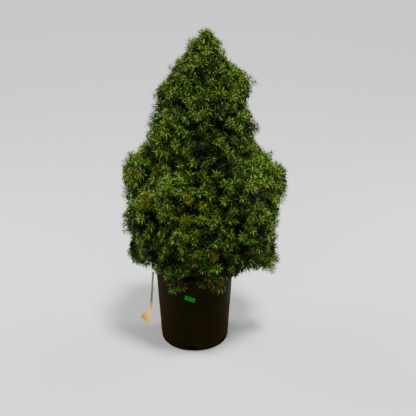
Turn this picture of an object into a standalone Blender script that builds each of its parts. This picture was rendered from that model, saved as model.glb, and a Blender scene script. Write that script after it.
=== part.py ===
"""A dwarf Alberta spruce in its nursery pot, for Blender 4.5. Metres, +Z up.

The pot stands on Z = 0 with its axis on Z. The plant's front faces -Y and +X is to its right.
The crown is made of lobes of foliage in tiers round one trunk. Each lobe keeps to its own cell of
space, walled off from its neighbours by planes, so the lobes fit round each other as the boughs
of a dense dwarf conifer do.
"""

import math
import random

import bmesh
import bpy
from mathutils import Matrix, Vector

GAP = 0.0003  # between pieces that touch
UP = Vector((0, 0, 1))
GOLDEN_ANGLE = math.pi * (3 - math.sqrt(5))
TURNED_SMOOTH = math.radians(20)  # the sharpest corner that is shaded smooth on a turned piece
LIMB_SMOOTH = math.radians(65)  # and on a limb

# Pot: thin moulded plastic with a lip band and drain slots through its bottom corner.
POT_HEIGHT = 0.235
POT_FOOT_RADIUS = 0.0903
POT_BASE_RADIUS = 0.0957  # at the top of the corner bevel
POT_TOP_RADIUS = 0.1100
POT_BEVEL = 0.008
POT_WALL = 0.0024
POT_FLOOR = 0.003
LIP_HEIGHT = 0.018
LIP_OUT = 0.0040
LIP_ROUND = 0.0012
TURNED_STEPS = 40
SLOTS = 6
SLOT_WIDTH, SLOT_DEPTH = 0.024, 0.020
SLOT_LOW, SLOT_HIGH = 0.0060, 0.0165
SLOT_AZIMUTH = math.radians(-93)

# Potting mix: fills the pot to under the lip, mounded a little, level where the trunk stands.
MIX_BELOW_RIM = 0.026
MIX_MOUND = 0.006
MIX_LEVEL_RADIUS = 0.030

# Trunk: flared at its foot, planted a little off the pot's axis and leaning to the right.
TRUNK_BASE = POT_HEIGHT - MIX_BELOW_RIM + MIX_MOUND + GAP
TRUNK_TOP = 0.838
TRUNK_FOOT_X = 0.008
TRUNK_LEAN = 0.020
TRUNK_SWAY = 0.003
TRUNK_LOW_RADIUS = 0.0115
TRUNK_TIP_RADIUS = 0.0022
FLARE_RADIUS = 0.0060  # added at the foot
FLARE_HEIGHT = 0.040
FLARE_BUTTRESSES = 4
FLARE_DEPTH = 0.22
TRUNK_RINGS = 14
TRUNK_SIDES = 12

# Boughs: one tapering limb from the trunk to each lobe of the lower tiers.
BOUGH_SIDES = 6
BOUGH_SHARE = 0.42  # of the trunk's radius at its root
BOUGH_TIP_RADIUS = 0.0030
BOUGH_RISE = 0.30  # height gained for each metre along the ground
BOUGH_STOP = 0.002  # how far short of the lobe's inner wall its tip stops
SEAT_CLEARANCE = 0.0008  # at a limb's root corners, so that the flats between them stay clear
SEAT_START = 1.3  # how far out a limb's root starts, over its own and the trunk's radius
SEAT_HALVINGS = 30

# Lobes: flattened balls of shoots round a rough core.
FLATNESS = 0.86  # height over width
CORE_SHARE = 0.80
CORE_ROUGHNESS = 0.07
SMALL_LOBE = 0.048  # a core under this radius has the fewest facets
WALL_CLEARANCE = 0.0006
NEEDLE_CLEARANCE = (0.0010, 0.0026)  # from a wall: uneven, so that no two needles end level
SHOOT_SPACING = 0.070
SHOOT_LENGTH = 0.037  # of its side needles, larger than life
SHOOT_LOBE = 0.087  # the lobe radius that those two are for: on smaller lobes they are less
SHOOT_LENGTH_SPREAD = 0.15
SHOOT_NEEDLES = 4
SHOOT_LIFT = 0.20  # how far shoots turn up from straight out
SHOOT_LEAN = 0.10  # how far they turn away from the trunk
SHOOT_DEPTH = 0.011  # of a shoot's middle inside the nearest wall
SHOOT_TIP = 0.55  # how far ahead of its middle its own tip is, as a share of its length
SHOOT_ROOT = 0.80  # how far behind its middle its root is sunk
NEEDLE_OUT, NEEDLE_FORWARD = 0.80, 0.30  # where its side needles end
NOTCH_OUT = 0.28  # between the needles
LEAST_ROOM = 0.95  # of its tip's reach, under which a shoot is skipped
STEM_RADII = (0.0030, 0.0024, 0.0014)
STEM_SIDES = 5
STEM_PAST = 0.35  # how far past the middle of its lobe a stem runs, as a share of the radius
TWIG_RADII = (0.0018, 0.0010)
TWIG_SIDES = 3
TWIG_SLANT = 0.3  # how far behind its shoot a twig leaves the stem, as a share of the stem
LAST_FORK = 0.9

# Tiers of lobes up the crown: name, how many, first azimuth in degrees, height of their centres,
# distance of those from the crown's axis, lobe radius, distance kept clear round the trunk.
CROWN_X = 0.024
TIERS = (
    ("hem", 6, -5, 0.300, 0.121, 0.088, 0.050),
    ("belly", 6, 25, 0.400, 0.142, 0.091, 0.050),
    ("waist", 6, 5, 0.500, 0.136, 0.089, 0.042),
    ("shoulder", 5, 56, 0.604, 0.080, 0.082, 0),
    ("neck", 4, 5, 0.704, 0.052, 0.072, 0),
    ("crest", 3, 45, 0.794, 0.028, 0.054, 0),
    ("leader", 1, 0, 0.859, 0.006, 0.045, 0),
)
BOUGH_TIERS = ("hem", "belly", "waist")
# Lobes that break the even rings: degrees turned, then change of distance from the crown's
# axis, of height and of radius.
SHAPED = {
    "hem_left": (0, 0.006, -0.018, 0.000),
    "belly_back_right": (0, 0.008, -0.010, 0.000),
    "waist_right": (-4, 0.012, -0.020, 0.000),
    "waist_back_right": (-18, 0.012, -0.004, 0.003),
    "waist_back_left": (6, 0.010, 0.000, 0.003),
    "waist_left": (0, 0.004, 0.010, -0.005),
    "shoulder_right": (0, -0.014, 0.030, 0.003),
    "shoulder_left": (0, -0.012, 0.022, 0.008),
    "neck_right": (0, 0.002, 0.036, 0.007),
    "neck_left": (0, 0.002, 0.022, 0.001),
    "crest_left": (0, -0.004, 0.000, -0.004),
}
# Small sprays that droop over the front of the rim: name, azimuth, distance from the pot's axis,
# height and radius.
DROOPS = (
    ("droop_left", 252, 0.140, 0.241, 0.033),
    ("droop_right", 289, 0.143, 0.239, 0.036),
)
DROOP_BOUGH = (0.27, 0.0022)  # root radius as a share of the trunk's, and tip radius
DROOP_INSIDE = 0.1195  # droops hang outside this distance
DROOP_BOUGH_Z = (0.241, 0.253, 0.2575, 0.2535)  # of its points, from the trunk over the rim
DROOP_BOUGH_AT = (0.0, 0.40, 0.78, 1.0)  # where along it they are
DROOP_STRAIGHT = 0.006  # of its stem, in line with the bough
HEADROOM = 0.271  # the front lobes stay above this and the droops stay under it
HEADROOM_ARC = math.radians(50)  # either side of the front
RIM_CLEAR_RADIUS = 0.125
RIM_CLEAR_HEIGHT = 0.243
RIM_SLOPE = 0.6  # how steeply a low lobe hangs past the rim
COMPASS = ("right", "back_right", "back", "back_left", "left", "front_left", "front", "front_right")

# Hang tag: a strip from inside the pot over its lip and down the left side, twisted at its end.
TAG_WIDTH = 0.031
TAG_THICKNESS = 0.0008
TAG_END_Z = 0.038
TAG_END_SLANT = 0.027  # how much higher its outer corner ends
TAG_TURN = math.radians(11)  # where it starts to twist
TAG_TWIST = math.radians(80)  # at its end
TAG_TWIST_FROM = 0.165
TAG_FLARE = 0.011  # how much further out its end hangs
TAG_TWIST_STEPS = 8
TAG_TWIST_POWER = 8  # how late along its hang most of the twist comes

# Price label: a small blank sticker on the front of the pot.
LABEL_WIDTH, LABEL_HEIGHT, LABEL_THICKNESS = 0.0295, 0.0155, 0.0004
LABEL_AZIMUTH = math.radians(-97)
LABEL_Z = 0.173
LABEL_TILT = math.radians(-20)
LABEL_COLUMNS = 6


def finish(name, colour, roughness):
    made = bpy.data.materials.new(name)
    made.use_nodes = True
    shader = made.node_tree.nodes["Principled BSDF"]
    shader.inputs["Base Color"].default_value = (*colour, 1)
    shader.inputs["Roughness"].default_value = roughness
    shader.inputs["Metallic"].default_value = 0.0
    return made


def add_object(name, shape, material, smooth_under=0):
    """Turns a bmesh into an object and frees it. Edges that turn less than an angle are smoothed."""
    mesh = bpy.data.meshes.new(name)
    shape.to_mesh(mesh)
    shape.free()
    mesh.materials.append(material)
    if smooth_under:
        mesh.shade_smooth()
        mesh.set_sharp_from_angle(angle=smooth_under)
    made = bpy.data.objects.new(name, mesh)
    bpy.context.scene.collection.objects.link(made)
    return made


def apply_modifiers(obj):
    graph = bpy.context.evaluated_depsgraph_get()
    whole = bpy.data.meshes.new_from_object(obj.evaluated_get(graph))
    spent = obj.data
    obj.modifiers.clear()
    obj.data = whole
    bpy.data.meshes.remove(spent)


def islands(shape):
    """The vertices of each connected part of a bmesh."""
    left = set(shape.verts)
    while left:
        edge = [left.pop()]
        found = set(edge)
        while edge:
            vert = edge.pop()
            near = {link.other_vert(vert) for link in vert.link_edges} & left
            left -= near
            found |= near
            edge.extend(near)
        yield found


def keep_outer_skin(obj):
    """Drops loose scraps, and fills hollows that joining sealed by dropping their walls."""
    shape = bmesh.new()
    shape.from_mesh(obj.data)
    parts = sorted(islands(shape), key=len)
    spare = [vert for part in parts[:-1] for vert in part]
    bmesh.ops.delete(shape, geom=spare, context="VERTS")
    shape.to_mesh(obj.data)
    shape.free()


def join(name, pieces, material):
    """One closed solid from overlapping ones, by one Boolean union over a collection."""
    joined = add_object(name, pieces[0], material)
    others = bpy.data.collections.new(name + "_pieces")
    bpy.context.scene.collection.children.link(others)
    for piece in pieces[1:]:
        part = add_object(name + "_piece", piece, material)
        bpy.context.scene.collection.objects.unlink(part)
        others.objects.link(part)
    union = joined.modifiers.new("Union", "BOOLEAN")
    union.operation = "UNION"
    union.operand_type = "COLLECTION"
    union.collection = others
    union.solver = "EXACT"
    apply_modifiers(joined)
    for part in list(others.objects):
        mesh = part.data
        bpy.data.objects.remove(part)
        bpy.data.meshes.remove(mesh)
    bpy.data.collections.remove(others)
    keep_outer_skin(joined)
    return joined


def face_outwards(shape):
    bmesh.ops.recalc_face_normals(shape, faces=shape.faces)
    if shape.calc_volume(signed=True) < 0:
        bmesh.ops.reverse_faces(shape, faces=shape.faces)


def skin(shape, rings):
    """Skins a row of rings that have as many corners each, and closes both ends.

    Each side is split from its first corner on one ring to its second on the next. A thin strip's
    two broad sides are so split alike, and it keeps its thickness where it twists.
    """
    count = len(rings[0])
    for low, high in zip(rings, rings[1:]):
        for corner in range(count):
            first, second = sorted((corner, (corner + 1) % count))
            shape.faces.new((low[first], low[second], high[second]))
            shape.faces.new((low[first], high[second], high[first]))
    shape.faces.new(rings[0])
    shape.faces.new(rings[-1])
    face_outwards(shape)


def turned(profile, steps=TURNED_STEPS):
    """A profile of (radius, height) points, from axis to axis, spun about Z into a closed solid."""
    shape = bmesh.new()
    line = [shape.verts.new((radius, 0, height)) for radius, height in profile]
    edges = [shape.edges.new(pair) for pair in zip(line, line[1:])]
    bmesh.ops.spin(
        shape, geom=line + edges, cent=(0, 0, 0), axis=UP, angle=math.tau, steps=steps
    )
    bmesh.ops.remove_doubles(shape, verts=shape.verts, dist=1e-6)
    face_outwards(shape)
    return shape


def frame_about(direction):
    """Two unit vectors square to a direction and to each other, the second the higher one."""
    side = direction.cross(UP)
    side = side.normalized() if side.length > 1e-6 else Vector((1, 0, 0))
    return side, side.cross(direction)


def limb(path, radii, sides):
    """A tapering limb with flat ends, as a ring of corners round each point of a path."""
    shape = bmesh.new()
    rings = []
    for index, (point, radius) in enumerate(zip(path, radii)):
        after = path[min(index + 1, len(path) - 1)]
        before = path[max(index - 1, 0)]
        side, lift = frame_about((after - before).normalized())
        angles = [math.tau * corner / sides for corner in range(sides)]
        rings.append(
            [
                shape.verts.new(point + radius * (side * math.cos(a) + lift * math.sin(a)))
                for a in angles
            ]
        )
    skin(shape, rings)
    return shape, rings[0]


# Pot and what it holds


def wall_radius(z):
    """Outer radius of the pot's tapered wall at a height."""
    share = (z - POT_BEVEL) / (POT_HEIGHT - POT_BEVEL)
    return POT_BASE_RADIUS + share * (POT_TOP_RADIUS - POT_BASE_RADIUS)


def inner_radius(z):
    return wall_radius(z) - POT_WALL


def pot_shape():
    lip_low = POT_HEIGHT - LIP_HEIGHT
    lip = wall_radius(POT_HEIGHT) + LIP_OUT
    profile = [
        (0, 0),
        (POT_FOOT_RADIUS, 0),
        (POT_BASE_RADIUS, POT_BEVEL),
        (wall_radius(lip_low), lip_low),
        (lip, lip_low + LIP_ROUND),
        (lip, POT_HEIGHT - LIP_ROUND),
        (lip - LIP_ROUND, POT_HEIGHT),
        (inner_radius(POT_HEIGHT), POT_HEIGHT),
        (inner_radius(POT_BEVEL), POT_BEVEL),
        (POT_FOOT_RADIUS - POT_WALL, POT_FLOOR),
        (0, POT_FLOOR),
    ]
    return turned(profile)


def slot_cutters():
    shape = bmesh.new()
    middle = (SLOT_LOW + SLOT_HIGH) / 2
    size = Matrix.Diagonal((SLOT_DEPTH, SLOT_WIDTH, SLOT_HIGH - SLOT_LOW, 1))
    for slot in range(SLOTS):
        turn = Matrix.Rotation(SLOT_AZIMUTH + math.tau * slot / SLOTS, 4, "Z")
        place = turn @ Matrix.Translation((POT_BASE_RADIUS, 0, middle)) @ size
        bmesh.ops.create_cube(shape, size=1, matrix=place)
    return shape


def make_pot(material):
    pot = add_object("pot", pot_shape(), material, TURNED_SMOOTH)
    cutters = add_object("slot_cutters", slot_cutters(), material)
    cutters.hide_render = True
    cutters.display_type = "WIRE"
    cut = pot.modifiers.new("Drain slots", "BOOLEAN")
    cut.operation = "DIFFERENCE"
    cut.object = cutters
    cut.solver = "EXACT"


def make_mix(material):
    top = POT_HEIGHT - MIX_BELOW_RIM
    low = POT_FLOOR + GAP
    profile = [
        (0, low),
        (POT_FOOT_RADIUS - POT_WALL - GAP, low),
        (inner_radius(POT_BEVEL) - GAP, POT_BEVEL + GAP),
        (inner_radius(top) - GAP, top),
        (MIX_LEVEL_RADIUS, top + MIX_MOUND),
        (0, top + MIX_MOUND),
    ]
    add_object("potting_mix", turned(profile), material, TURNED_SMOOTH)


def make_label(material):
    """A thin plate that follows the wall, set out as columns across its width."""
    shape = bmesh.new()

    def corner(across, upward, out):
        run = across * math.cos(LABEL_TILT) - upward * math.sin(LABEL_TILT)
        z = LABEL_Z + across * math.sin(LABEL_TILT) + upward * math.cos(LABEL_TILT)
        azimuth = LABEL_AZIMUTH + run / wall_radius(LABEL_Z)
        radius = wall_radius(z) + GAP + out
        return shape.verts.new((radius * math.cos(azimuth), radius * math.sin(azimuth), z))

    half = LABEL_HEIGHT / 2
    ring_of = ((-half, 0), (half, 0), (half, LABEL_THICKNESS), (-half, LABEL_THICKNESS))
    rings = []
    for column in range(LABEL_COLUMNS + 1):
        across = LABEL_WIDTH * (column / LABEL_COLUMNS - 0.5)
        rings.append([corner(across, upward, out) for upward, out in ring_of])
    skin(shape, rings)
    add_object("price_label", shape, material)


def tag_line():
    """The strip's route as (distance out from the pot's axis, height), bent over the lip."""
    flat = inner_radius(POT_HEIGHT) * math.cos(math.pi / TURNED_STEPS)
    inside = math.sqrt(flat**2 - (TAG_WIDTH / 2) ** 2) - GAP - TAG_THICKNESS / 2
    outside = wall_radius(POT_HEIGHT) + LIP_OUT + 0.0012
    clear = POT_HEIGHT + GAP
    top = clear + TAG_THICKNESS
    return [
        (inside - 0.0016, POT_HEIGHT - MIX_BELOW_RIM + 0.003),
        (inside, POT_HEIGHT - 0.004),
        (inside, clear),
        (inside + 0.0012, top),
        (outside - 0.0012, top),
        (outside, POT_HEIGHT - 0.003),
        (outside, TAG_TWIST_FROM),
    ]


def make_tag(material):
    """A strip that is straight across over the lip, then turns about its front edge as it hangs."""
    shape = bmesh.new()
    line = tag_line()
    rings = []
    for index, (out, z) in enumerate(line):
        before = Vector(line[max(index - 1, 0)])
        after = Vector(line[min(index + 1, len(line) - 1)])
        run = (after - before).normalized()
        face = Vector((-run.y, 0, -run.x)) * TAG_THICKNESS / 2
        rings.append(tag_ring(shape, Vector((-out, 0, z)), face, Vector((0, 1, 0)), 0))
    hang = line[-1][0]
    for step in range(1, TAG_TWIST_STEPS + 1):
        share = math.sqrt(step / TAG_TWIST_STEPS)
        turn = TAG_TURN + (TAG_TWIST - TAG_TURN) * share**TAG_TWIST_POWER
        z = TAG_TWIST_FROM + (TAG_END_Z - TAG_TWIST_FROM) * share
        width = Vector((-math.sin(turn), math.cos(turn), 0))
        face = Vector((math.cos(turn), math.sin(turn), 0)) * TAG_THICKNESS / 2
        slant = TAG_END_SLANT * share**4
        middle = Vector((-hang - TAG_FLARE * share, 0, z))
        rings.append(tag_ring(shape, middle, face, width, slant))
    skin(shape, rings)
    add_object("hang_tag", shape, material)


def tag_ring(shape, middle, face, width, slant):
    """Four corners of the strip: its front edge stays put and its outer edge may end higher."""
    front = middle - Vector((0, TAG_WIDTH / 2, 0))
    outer = front + width * TAG_WIDTH + UP * slant
    corners = (front - face, front + face, outer + face, outer - face)
    return [shape.verts.new(corner) for corner in corners]


# Trunk and boughs


def trunk_axis(z):
    rise = (z - TRUNK_BASE) / (TRUNK_TOP - TRUNK_BASE)
    lean = TRUNK_FOOT_X + TRUNK_LEAN * rise
    return Vector((lean, TRUNK_SWAY * math.sin(math.tau * rise), z))


def trunk_flare(z):
    """1 at the foot, falling to 0 at the flare's top."""
    return max(0.0, 1 - (z - TRUNK_BASE) / FLARE_HEIGHT) ** 2


def trunk_radius(z):
    rise = (z - TRUNK_BASE) / (TRUNK_TOP - TRUNK_BASE)
    taper = TRUNK_LOW_RADIUS + (TRUNK_TIP_RADIUS - TRUNK_LOW_RADIUS) * rise
    return taper + FLARE_RADIUS * trunk_flare(z)


def make_trunk(material):
    shape = bmesh.new()
    rings = []
    for ring in range(TRUNK_RINGS):
        z = TRUNK_BASE + (TRUNK_TOP - TRUNK_BASE) * (ring / (TRUNK_RINGS - 1)) ** 1.5
        centre = trunk_axis(z)
        corners = []
        for side in range(TRUNK_SIDES):
            angle = math.tau * side / TRUNK_SIDES
            buttress = math.cos(FLARE_BUTTRESSES * angle) * FLARE_DEPTH * trunk_flare(z)
            radius = trunk_radius(z) * (1 + buttress)
            out = Vector((math.cos(angle), math.sin(angle), 0)) * radius
            corners.append(shape.verts.new(centre + out))
        rings.append(corners)
    skin(shape, rings)
    add_object("trunk", shape, material, LIMB_SMOOTH)


def seat_on_trunk(shape, ring, direction):
    """Slides a limb's root end back along it until it stands on the trunk, a little clear."""
    cap = next(face for face in ring[0].link_faces if set(face.verts) == set(ring))
    hub = bmesh.ops.poke(shape, faces=[cap])["verts"]
    for vert in ring + hub:
        near, far = 0.0, (vert.co - trunk_axis(vert.co.z)).length
        for _ in range(SEAT_HALVINGS):
            middle = (near + far) / 2
            point = vert.co - direction * middle
            away = point - trunk_axis(point.z)
            widest = trunk_radius(point.z) * (1 + FLARE_DEPTH * trunk_flare(point.z))
            if away.to_2d().length > widest + SEAT_CLEARANCE:
                near = middle
            else:
                far = middle
        vert.co -= direction * near


def limb_from_trunk(path, radii, sides):
    """A limb whose path starts on the trunk's axis, cut off where it would enter the trunk."""
    direction = (path[1] - path[0]).normalized()
    start = path[0] + direction * (trunk_radius(path[0].z) + radii[0]) * SEAT_START
    shape, root = limb([start] + path[1:], radii, sides)
    seat_on_trunk(shape, root, direction)
    return shape


# Lobes of foliage


class Lobe:
    """One mass of foliage: its middle and reach, and the planes that wall its cell of space."""

    def __init__(self, tier, name, centre, radius, clear):
        self.tier = tier
        self.name = name
        self.centre = centre
        self.radius = radius
        self.clear = clear
        away = centre - trunk_axis(centre.z)
        self.heading = Vector((away.x, away.y, 0)).normalized()
        self.walls = []

    def add_wall(self, normal, limit):
        """Points of the cell have normal . point under the limit."""
        self.walls.append((normal / normal.length, limit / normal.length))

    def reach(self, ray):
        """Distance from the middle to the lobe's outline along a unit ray."""
        return self.radius / flattened(ray).length

    def room(self, point, ray, clearance=WALL_CLEARANCE):
        """How far a unit ray runs from a point before it leaves the lobe or its cell."""
        offset = flattened(point - self.centre)
        step = flattened(ray)
        a = step.dot(step)
        b = offset.dot(step)
        c = offset.dot(offset) - self.radius**2
        free = (-b + math.sqrt(max(b * b - a * c, 0))) / a
        for normal, limit in self.walls:
            closing = normal.dot(ray)
            if closing > 1e-9:
                free = min(free, (limit - clearance - normal.dot(point)) / closing)
        return free

    def depth(self, point):
        """How far inside the nearest wall a point lies."""
        return min(limit - normal.dot(point) for normal, limit in self.walls)


def flattened(vector):
    """Stretches the height so that a lobe's outline becomes a ball."""
    return Vector((vector.x, vector.y, vector.z / FLATNESS))


def azimuth_vector(azimuth):
    return Vector((math.cos(azimuth), math.sin(azimuth), 0))


def crown_lobes():
    lobes = []
    for tier, count, first, height, distance, radius, clear in TIERS:
        for index in range(count):
            degrees = first + 360 * index / count
            side = COMPASS[round(degrees / 45) % len(COMPASS)]
            name = f"{tier}_{side}" if count > 1 else tier
            turned, further, higher, larger = SHAPED.get(name, (0, 0, 0, 0))
            centre = azimuth_vector(math.radians(degrees + turned)) * (distance + further)
            centre += Vector((CROWN_X, 0, height + higher))
            lobes.append(Lobe(tier, name, centre, radius + larger, clear))
    return lobes


def droop_lobes():
    lobes = []
    for name, azimuth, distance, height, radius in DROOPS:
        centre = azimuth_vector(math.radians(azimuth)) * distance + UP * height
        lobes.append(Lobe("droop", name, centre, radius, 0))
    return lobes


def wall_off_neighbours(lobes):
    """Puts a wall where two lobes' outlines cross, or halfway by reach where they don't."""
    for lobe in lobes:
        middle = flattened(lobe.centre)
        for other in lobes:
            step = flattened(other.centre) - middle
            span = step.length
            if other is lobe or span > lobe.radius + other.radius:
                continue
            share = (span**2 + lobe.radius**2 - other.radius**2) / (2 * span)
            normal = step / span
            lobe.add_wall(flattened(normal), normal.dot(middle) + share)


def wall_off_trunk(lobe):
    """Keeps a lobe outside the column that the trunk and its boughs take."""
    if lobe.tier == "leader":
        lobe.add_wall(-UP, -(TRUNK_TOP + GAP))
        return
    if lobe.clear:
        inner = trunk_axis(lobe.centre.z).dot(lobe.heading) + lobe.clear
    else:
        heights = [lobe.centre.z + lobe.radius * step / 4 for step in range(-4, 5)]
        heights = [min(max(z, TRUNK_BASE), TRUNK_TOP) for z in heights]
        inner = max(trunk_axis(z).dot(lobe.heading) + trunk_radius(z) for z in heights)
        inner += GAP
    lobe.add_wall(-lobe.heading, -inner)


def wall_off_pot(lobe):
    """Keeps the hem above the rim and outside it, and makes room for the droops' boughs."""
    out = lobe.heading
    if lobe.tier == "droop":
        lobe.add_wall(-out, -DROOP_INSIDE)
        lobe.add_wall(UP, HEADROOM - WALL_CLEARANCE)
    elif lobe.tier == "hem":
        slope = out * RIM_SLOPE + UP
        lobe.add_wall(-slope, -(RIM_CLEAR_HEIGHT + RIM_SLOPE * RIM_CLEAR_RADIUS))
        if out.angle(Vector((0, -1, 0))) < HEADROOM_ARC:
            lobe.add_wall(-UP, -HEADROOM)


def core_shape(lobe, chance):
    """The dense middle of a lobe: a rough ball, drawn in to the cell's walls."""
    shape = bmesh.new()
    detail = 1 if lobe.radius < SMALL_LOBE else 2
    bmesh.ops.create_icosphere(shape, subdivisions=detail, radius=1)
    for vert in shape.verts:
        ray = vert.co.normalized()
        share = CORE_SHARE * chance.uniform(1 - CORE_ROUGHNESS, 1 + CORE_ROUGHNESS)
        vert.co = lobe.centre + ray * min(share * lobe.reach(ray), lobe.room(lobe.centre, ray))
    return shape


def shoot_shape(lobe, place, along, length, chance):
    """A tuft of needles: a star of spikes about a shoot, each drawn in to the cell's walls."""
    side, lift = frame_about(along)
    turn = chance.uniform(0, math.tau)
    rays = [-SHOOT_ROOT * along, SHOOT_TIP * along]
    for corner in range(2 * SHOOT_NEEDLES):
        angle = turn + math.pi * corner / SHOOT_NEEDLES
        radial = side * math.cos(angle) + lift * math.sin(angle)
        needle = radial * NEEDLE_OUT + along * NEEDLE_FORWARD
        rays.append(radial * NOTCH_OUT if corner % 2 else needle)
    shape = bmesh.new()
    verts = []
    for ray in rays:
        unit = ray.normalized()
        room = lobe.room(place, unit, chance.uniform(*NEEDLE_CLEARANCE))
        reach = min(ray.length * length, room)
        verts.append(shape.verts.new(place + unit * reach))
    root, tip, *ring = verts
    for corner, vert in enumerate(ring):
        after = ring[(corner + 1) % len(ring)]
        shape.faces.new((root, after, vert))
        shape.faces.new((tip, vert, after))
    return shape


def sphere_rays(count):
    """Unit vectors spread evenly over a sphere by the golden angle."""
    for index in range(count):
        z = 1 - 2 * (index + 0.5) / count
        flat = math.sqrt(1 - z * z)
        angle = GOLDEN_ANGLE * index
        yield Vector((flat * math.cos(angle), flat * math.sin(angle), z))


def fork_point(stem, place):
    """Where on the stem a twig leaves it, so that the twig slants forward to its place."""
    run = stem[-1] - stem[-2]
    share = (place - stem[-2]).dot(run) / run.length_squared - TWIG_SLANT
    return stem[-2] + run * min(max(share, 0), LAST_FORK)


def shoots_and_twigs(lobe, stem, chance):
    """Shoots spread over a lobe, each at the end of a twig that leaves the stem at a slant."""
    pieces = []
    scale = math.sqrt(lobe.radius / SHOOT_LOBE)
    spacing = math.sqrt(scale) * SHOOT_SPACING
    count = round(4 * math.pi * (lobe.radius / spacing) ** 2)
    spin = Matrix.Rotation(chance.uniform(0, math.tau), 3, "Z")
    for ray in sphere_rays(count):
        ray = spin @ ray
        spread = chance.uniform(1 - SHOOT_LENGTH_SPREAD, 1 + SHOOT_LENGTH_SPREAD)
        length = scale * SHOOT_LENGTH * spread
        along = (ray + UP * SHOOT_LIFT + lobe.heading * SHOOT_LEAN).normalized()
        place = lobe.centre + ray * (lobe.reach(ray) - SHOOT_TIP * length)
        if lobe.depth(place) < SHOOT_DEPTH:
            continue
        if lobe.room(place, along) < LEAST_ROOM * SHOOT_TIP * length:
            continue
        pieces.append(shoot_shape(lobe, place, along, length, chance))
        twig, _ = limb([fork_point(stem, place), place], TWIG_RADII, TWIG_SIDES)
        pieces.append(twig)
    return pieces


def limb_root(lobe):
    """The point on the trunk's axis from which a limb rises to the middle of a lobe."""
    run = (lobe.centre - trunk_axis(lobe.centre.z)).to_2d().length
    return trunk_axis(lobe.centre.z - BOUGH_RISE * run)


def bough_route(lobe):
    """Straight from the trunk towards the middle of a lobe, as far as its inner wall."""
    root = limb_root(lobe)
    slope = (lobe.centre - root).normalized()
    return [root, root + slope * (lobe.clear - BOUGH_STOP) / slope.dot(lobe.heading)]


def droop_route(lobe):
    """Out from the trunk low over the mix, up over the rim and level to the drooping spray."""
    start = trunk_axis(DROOP_BOUGH_Z[0])
    inside = lobe.centre.dot(lobe.heading) - DROOP_INSIDE + BOUGH_STOP
    end = lobe.centre - lobe.heading * inside
    route = []
    for share, z in zip(DROOP_BOUGH_AT, DROOP_BOUGH_Z):
        point = start.lerp(end, share)
        point.z = z
        route.append(point)
    return route


def make_bough(lobe, route, shares, wood):
    """One limb that tapers evenly along its route."""
    share, tip = shares
    root = share * trunk_radius(route[0].z)
    last = len(route) - 1
    radii = [root + (tip - root) * index / last for index in range(last + 1)]
    shape = limb_from_trunk(route, radii, BOUGH_SIDES)
    add_object("bough_" + lobe.name, shape, wood, LIMB_SMOOTH)


def grow_stem(lobe, wood):
    """A lobe's stem, as its path and shape, and first the bough that it grows on from."""
    end = lobe.centre + lobe.heading * lobe.radius * STEM_PAST
    if lobe.tier == "leader":
        foot = trunk_axis(TRUNK_TOP) + UP * GAP
        rises = (0, lobe.centre.z - foot.z, lobe.centre.z - foot.z + lobe.radius * STEM_PAST)
        path = [foot + UP * rise for rise in rises]
    elif lobe.tier == "droop":
        route = droop_route(lobe)
        make_bough(lobe, route, DROOP_BOUGH, wood)
        on = (route[-1] - route[-2]).normalized()
        foot = route[-1] + on * GAP
        path = [foot, foot + on * DROOP_STRAIGHT, lobe.centre, end]
    elif lobe.tier in BOUGH_TIERS:
        route = bough_route(lobe)
        make_bough(lobe, route, (BOUGH_SHARE, BOUGH_TIP_RADIUS), wood)
        on = (route[-1] - route[0]).normalized()
        path = [route[-1] + on * GAP, lobe.centre, end]
    else:
        path = [limb_root(lobe), lobe.centre, end]
        return path, limb_from_trunk(path, STEM_RADII, STEM_SIDES)
    radii = STEM_RADII[:1] * (len(path) - len(STEM_RADII)) + STEM_RADII
    shape, _ = limb(path, radii, STEM_SIDES)
    return path, shape


def grow_lobe(lobe, foliage, wood):
    """A lobe's mass of foliage on one stem, with its bough where its tier has boughs."""
    chance = random.Random(lobe.name)
    path, stem = grow_stem(lobe, wood)
    pieces = [core_shape(lobe, chance), stem]
    pieces += shoots_and_twigs(lobe, path, chance)
    join(lobe.name, pieces, foliage)


def main():
    for obj in list(bpy.data.objects):
        bpy.data.objects.remove(obj, do_unlink=True)
    foliage = finish("foliage", (0.052, 0.085, 0.012), 0.6)
    bark = finish("bark", (0.16, 0.07, 0.03), 0.8)
    plastic = finish("pot_plastic", (0.012, 0.009, 0.006), 0.45)
    mix = finish("potting_mix", (0.03, 0.018, 0.01), 0.95)
    card = finish("tag_card", (0.88, 0.62, 0.32), 0.55)
    sticker = finish("label_green", (0.002, 0.14, 0.004), 0.4)
    make_pot(plastic)
    make_mix(mix)
    make_label(sticker)
    make_tag(card)
    make_trunk(bark)
    lobes = crown_lobes()
    wall_off_neighbours(lobes)
    droops = droop_lobes()
    for lobe in lobes + droops:
        if lobe.tier != "droop":
            wall_off_trunk(lobe)
        wall_off_pot(lobe)
        grow_lobe(lobe, foliage, bark)


main()
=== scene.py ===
"""Finishes a dwarf Alberta spruce in its nursery pot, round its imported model. Metres, +Z up.

The crown grows by one rule: lobes in tiers round the trunk, each in its own cell of space, with a
stem from its bough, twigs off the stem, shoots off the twigs and a spiral of needles on each shoot.
"""

import math
import zlib
from functools import partial

import bpy
import numpy as np
from bpy.props import FloatProperty, FloatVectorProperty, IntProperty, PointerProperty
from mathutils import Matrix, Vector


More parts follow.
